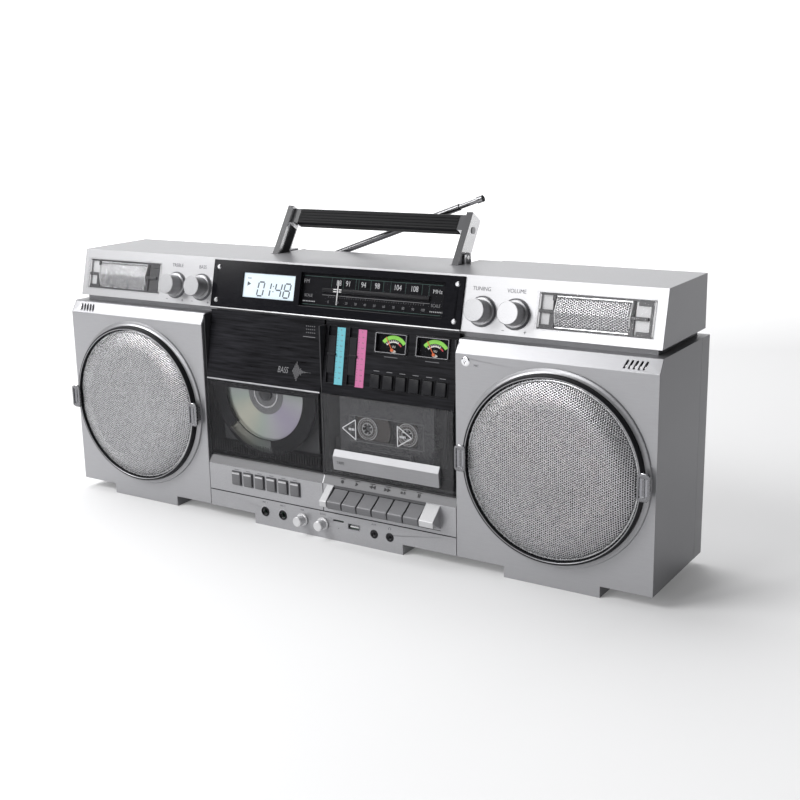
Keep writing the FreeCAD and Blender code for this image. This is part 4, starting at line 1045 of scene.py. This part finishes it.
HUB_Z = 110.0
for side, x in (("left", 42.35), ("right", 84.85)):
    hub = [(5.2, 11.6), (10.4, 11.6), (10.8, 11.8), (10.8, 12.4), (5.2, 12.4)]
    parts = [(turned(hub, x, HUB_Z, 64, True), MECHANISM)]
    for inner, outer in ((9.9, 10.7), (8.4, 8.8), (5.2, 6.0)):
        lip = [(inner, 11.2), (outer, 11.2), (outer, 11.7), (inner, 11.7)]
        parts.append((turned(lip, x, HUB_Z, 64, True), WHITE_CHEEK))
    for i in range(6):
        parts += painted(WHITE_CHEEK, stroke(spoke(x, HUB_Z, 60 * i + 30, (3.4, 5.6)), 1.2, (11.0, 13.0)))
    for i in range(20):
        parts += painted(REEL, stroke(spoke(x, HUB_Z, 18 * i, (6.6, 9.6)), 0.5, (11.3, 11.6)))
    piece(f"reel_hub_{side}", parts, body=f"cassette_reel_{side}")

label = blocks(
    GREY_PRINT,
    ((24.0, 103.2), (9.3, 9.6), (97.4, 97.9)),
    ((24.0, 103.2), (9.3, 9.6), (121.6, 122.1)),
    ((24.0, 24.5), (9.3, 9.6), (97.4, 122.1)),
    ((102.7, 103.2), (9.3, 9.6), (97.4, 122.1)),
)
guard = [(34.0, 75.8), (93.2, 75.8), (89.6, 91.0), (37.6, 91.0)]
label.append((plate(guard, (7.9, 9.5)), CASSETTE))
label += painted(GREY_PRINT, stroke([*guard[1:], guard[0]], 0.5, (7.8, 7.95)))
label += painted(MASK, (turned(plug(2.2, 7.7, 7.9), x, 83.6, 32) for x in (42.0, 85.2)))
piece("cassette_label", label, body="tape_door")


# Lower panel: strip, key symbols, jacks and labels

KEY_X, KEY_PITCH, BUTTON_X, BUTTON_PITCH, MARK_Y = 11.0, 16.5, -105.8, 14.3, (-0.08, 0.02)
LEDGE_SIDE = [(3.95, 62.05), (-0.02, 54.6), (0.4, 54.4), (4.3, 61.7)]
strips = painted(STRIP, (bar(x, LEDGE_SIDE) for x in ((-140.3, -2.5), (-1.5, 140.3))))
piece("ledge_strip", strips)

slope = math.degrees(math.atan2(4.0, 7.5))
LEDGE = leaning((0.0, 54.5), slope)
SYMBOL_Y = (-0.35, -0.05)
symbols = []
for i in range(6):
    x = KEY_X + KEY_PITCH * i + 8.2
    up = 4.6
    marks = []
    if i == 0:
        marks = [turned(plug(1.6, *SYMBOL_Y), x, up, 24)]
    elif i == 1:
        marks = [plate([(x - 1.8, up + 1.8), (x - 1.8, up - 1.8), (x + 1.4, up)], SYMBOL_Y)]
    elif i in (2, 3):
        reach = -1.8 if i == 2 else 1.8
        for a in about(x, 1.7):
            marks.append(plate([(a + reach, up), (a - reach, up + 1.8), (a - reach, up - 1.8)], SYMBOL_Y))
    elif i == 4:
        marks = [
            block((x - 2.6, x - 0.6), SYMBOL_Y, about(up, 1.0)),
            plate([(x + 0.4, up - 0.2), (x + 2.6, up - 0.2), (x + 1.5, up + 1.8)], SYMBOL_Y),
            block((x + 0.4, x + 2.6), SYMBOL_Y, (up - 1.0, up - 0.6)),
        ]
    else:
        marks = [block((a, a + 0.9), SYMBOL_Y, about(up, 1.6)) for a in (x - 1.0, x + 0.5)]
    symbols += painted(MASK, marks)
    symbols.append((block(about(x, 2.6), SYMBOL_Y, (7.0, 7.7)), MASK))
piece("key_symbols", symbols, place=LEDGE)

for i in range(6):
    x = BUTTON_X + i * BUTTON_PITCH
    name = f"cd_button_{i + 1}"
    cap = block(about(x, 5.2), (-2.2, 3.8), (36.6, 49.4), 0.8, 3)
    # Painted highlight: a bright strip across the top of each button's face, where its rounded top edge
    # catches the light.
    highlight_strip = block(about(x, 4.6), (-2.26, -1.2), (47.2, 48.9), 0.3)
    flange = block(about(x, 6.2), (3.3, 4.5), (35.6, 50.4))
    parts = [(cap, BUTTON_GREY), (highlight_strip, KEY_BRIGHT), (flange, BUTTON_GREY)]
    cap_over(name, parts)
button_marks = []
for i in range(6):
    x = BUTTON_X + i * BUTTON_PITCH
    button_marks.append((block(about(x, 2.6), MARK_Y, (51.4, 51.9)), DARK_PRINT_AND_SHADE))
    inner, outer = rounded(about(x, 5.5), (36.2, 49.8), 0.4), rounded((x - 6.1, x + 6.3), (35.6, 50.3), 0.5)
    button_marks.append((band(inner, outer, (-0.1, 0.02)), DARK_PRINT_AND_SHADE))
piece("cd_button_marks", button_marks)

SOCKET_Z, MIC_JACKS, LINE_JACKS = 14.4, (-71.8, -50.4), (54.3, 71.3)
jacks = []
for x in MIC_JACKS:
    rim = [(3.3, 0.4), (3.3, -0.9), (3.9, -1.3), (4.6, -1.0), (5.0, -0.2), (5.0, 0.05), (3.6, 0.4)]
    jacks.append((turned(rim, x, SOCKET_Z, 48, True), BLACK))
    jacks.append((turned(plug(3.2, 4.0, 4.4), x, SOCKET_Z, 32), MASK))
    jacks.append((turned([(5.0, 0.05), (5.0, -0.4), (5.6, -0.3), (5.8, 0.05)], x, SOCKET_Z, 48, True), EDGE))
for x in LINE_JACKS:
    rim = [(1.9, 0.4), (1.9, -0.5), (2.4, -0.8), (3.6, -0.6), (4.2, -0.2), (4.2, 0.05), (2.2, 0.4)]
    jacks.append((turned(rim, x, SOCKET_Z, 40, True), MASK))
    jacks.append((turned(plug(1.8, 3.0, 3.4), x, SOCKET_Z, 32), MASK))
piece("jack_rings", jacks)
socket_marks = []
for x, text in ((-71.8, "MIC 1"), (-50.4, "MIC 2"), (-27.0, "VOL"), (-3.0, "ECHO"), (54.3, "AUX")):
    socket_marks.append((words(text, x, 23.6, 2.5, -0.05), DARK_PRINT_AND_SHADE))
socket_marks.append((arc_band(71.3, 22.6, (1.0, 1.4), 0, 180, MARK_Y), DARK_PRINT_AND_SHADE))
for x in (70.1, 72.5):
    socket_marks.append((block(about(x, 0.3), MARK_Y, (21.6, 22.8)), DARK_PRINT_AND_SHADE))
socket_marks.append((turned(plug(0.5, *MARK_Y), 14.6, 12.6, 16), DARK_PRINT_AND_SHADE))
piece("socket_marks", socket_marks)
usb = [(block((27.4, 36.6), (0.9, 9.0), (16.0, 17.6), 0.2), WHITE_CHEEK)]
inner, outer = rounded((25.8, 38.2), (14.6, 19.4), 0.3), rounded((25.2, 38.8), (14.0, 20.0), 0.5)
usb.append((band(inner, outer, (-0.3, 0.05)), METAL_DARK))
piece("port_tongue_and_rim", usb)

KEY_SIDE = [
    (0.4, 51.8), (-3.4, 48.9), (-7.6, 46.2), (-11.8, 43.9), (-13.4, 42.9), (-13.9, 41.6), (-13.7, 39.6),
    (-13.2, 36.6), (-12.4, 35.8), (0.4, 32.8),
]
for i, name in enumerate(KEYS):
    x = KEY_X + KEY_PITCH * i
    lever = block((x + 1.0, x + 15.5), (0.2, 24.0), (43.2, 48.8), 0.5)
    cap_over(name, painted(KEY_GREY, (bar((x + 0.6, x + 15.9), KEY_SIDE), lever)), bevel=0.35)
CHEEK_SIDE = [(0.1, 54.1), (-13.7, 42.4), (-13.9, 41.6), (-13.4, 37.0), (-12.6, 36.3), (0.1, 35.4)]
cheeks = painted(KEY_BRIGHT, (bar(x, CHEEK_SIDE) for x in ((3.1, 10.6), (110.4, 124.9))))
piece("key_cheeks", cheeks, bevel=0.4)
seams = blocks(
    MASK,
    ((-140.2, 140.2), (-0.08, 0.3), (26.6, 27.3)),
    ((-2.2, -1.8), (-0.08, 0.3), (27.3, 54.4)),
    ((10.7, 110.3), (-0.1, 0.5), (33.6, 52.0)),
    ((3.0, 125.0), (-0.08, 0.3), (30.4, 30.9)),
)
seams.append((block((-140.2, -2.5), (-0.05, 0.3), (54.2, 54.5)), DARK_PRINT_AND_SHADE))
seams.append((block((10.7, 110.3), (-0.15, 0.5), (52.0, 54.6)), STRIP))
piece("front_seams", seams)

MIC_X, MIC_Z = 150.7, 186.3
rim = [
    (0.4, 1.2), (0.4, 0.2), (1.4, 0.2), (1.6, -0.3), (3.0, -0.5), (3.9, -0.2), (4.2, 0.05), (3.0, 0.4),
    (3.0, 1.2),
]
mic = [(turned(rim, MIC_X, MIC_Z, 40, True), CHROME)]
mic.append((turned(plug(3.0, 0.9, 1.3), MIC_X, MIC_Z, 32), MASK))
mic.append((words("MIC", 161.0, 183.6, 2.8, -0.05), DARK_PRINT_AND_SHADE))
piece("microphone", mic)


# Handle screws and feet

arm_screws = []
HANDLE = leaning((84.0, 261.2), 33.4)
for sign in (-1, 1):
    face = sorted((sign * 104.4, sign * 105.2))
    bm = turned([(0, face[0]), (2.9, face[0]), (3.2, face[1]), (0, face[1])], 0, 0, 32)
    bm.transform(Matrix.Rotation(math.radians(-90), 4, "Z"))
    arm_screws.append((moved(bm, z=27.0), SCREW))
piece("handle_screws", arm_screws, place=HANDLE, body="handle")

FEET = ((-275.0, -187.0), (-85.0, 85.0), (187.0, 275.0))
pads = [(x, y) for foot in FEET for y in (8.0, 78.0) for x in (foot[0] + 8.0, foot[1] - 22.0)]
pads = blocks(RUBBER, *(((x, x + 14.0), (y, y + 10.0), (0.0, 1.6), 0.5) for x, y in pads))
piece("foot_pads", pads)


# Stage, lights and camera

def stage_material():
    """White paper: diffuse near the object, and evenly lit from behind further away."""
    mat, add, surface = tree("studio_white")
    coords = add("TexCoord").outputs["Object"]
    back_and_up = {0: coords, 1: (0.0, 0.8, 0.6)}
    away = add("VectorMath", back_and_up, operation="DOT_PRODUCT").outputs["Value"]
    surface({
        "Base Color": (0.68, 0.68, 0.685, 1),
        "Roughness": ranged(add, streaks(add, EVEN, 60.0), 0.72, 0.80),
        "Specular IOR Level": 0.2,
        "Emission Color": (1, 1, 1, 1),
        "Emission Strength": ranged(add, away, 0.14, 1.05, 0.6, 1.85),
    })
    return mat


def floor():
    """A pale floor that curves up a long way behind the object."""
    verts, faces = [], []
    outline = [(-5.0, 0.0), (3.0, 0.0)]
    outline += [spoke(3.0, 2.0, degrees, (2.0,))[0] for degrees in range(-80, 1, 10)]
    outline.append((5.0, 6.0))
    for y, z in outline:
        verts += [(-9.0, y, z), (5.0, y, z)]
    for i in range(len(outline) - 1):
        faces.append((2 * i, 2 * i + 1, 2 * i + 3, 2 * i + 2))
    bm = shape(verts, faces)
    mesh = bpy.data.meshes.new("studio_floor")
    bm.to_mesh(mesh)
    for face in mesh.polygons:
        face.use_smooth = True
    obj = bpy.data.objects.new("studio_floor", mesh)
    bpy.context.scene.collection.objects.link(obj)
    obj.rotation_euler = (0, 0, 0.55)
    mesh.materials.append(stage_material())


def softbox(name, place, aim, size, power):
    light = bpy.data.lights.new(name, "AREA")
    light.shape = "RECTANGLE"
    light.size, light.size_y = size
    light.energy = power
    obj = bpy.data.objects.new(name, light)
    obj.location = place
    obj.rotation_euler = (Vector(aim) - Vector(place)).to_track_quat("-Z", "Y").to_euler()
    bpy.context.scene.collection.objects.link(obj)


floor()
softbox("key_left", (-1.42, -1.5, 1.75), (0, 0, 0.12), (1.3, 1.1), 54.0)
softbox("overhead", (-0.7, 0.5, 2.0), (0, 0, 0.1), (2.0, 1.4), 33.0)
softbox("front_strip", (-0.55, -2.22, 0.84), (0.28, -0.05, 0.22), (0.42, 0.70), 15.0)
softbox("left_strip", (-1.82, -1.68, 0.99), (-0.2, -0.06, 0.18), (0.5, 0.3), 5.0)

world = bpy.data.worlds.new("studio_air")
world.use_nodes = True
world.node_tree.nodes["Background"].inputs["Color"].default_value = (0.96, 0.97, 1.0, 1)
world.node_tree.nodes["Background"].inputs["Strength"].default_value = 0.10
bpy.context.scene.world = world
bpy.context.scene.view_settings.view_transform = "Standard"


def camera():
    """The photograph's view: a little above the object and to its right."""
    yaw, pitch, roll = -0.6001, -0.2415, -0.0280
    forward = Vector((math.sin(yaw) * math.cos(pitch), math.cos(yaw) * math.cos(pitch), math.sin(pitch)))
    right = Vector((math.cos(yaw), -math.sin(yaw), 0.0))
    up = right.cross(forward)
    turned_right = right * math.cos(roll) + up * math.sin(roll)
    turned_up = up * math.cos(roll) - right * math.sin(roll)
    data = bpy.data.cameras.new("photograph_view")
    data.lens = 55.02
    data.sensor_width = 36.0
    data.shift_x = 0.05625
    data.shift_y = -0.0125
    obj = bpy.data.objects.new("photograph_view", data)
    columns = Matrix((turned_right, turned_up, -forward)).transposed().to_4x4()
    obj.matrix_world = Matrix.Translation((0.6399, -0.9378, 0.4114)) @ columns
    bpy.context.scene.collection.objects.link(obj)
    bpy.context.scene.camera = obj


camera()
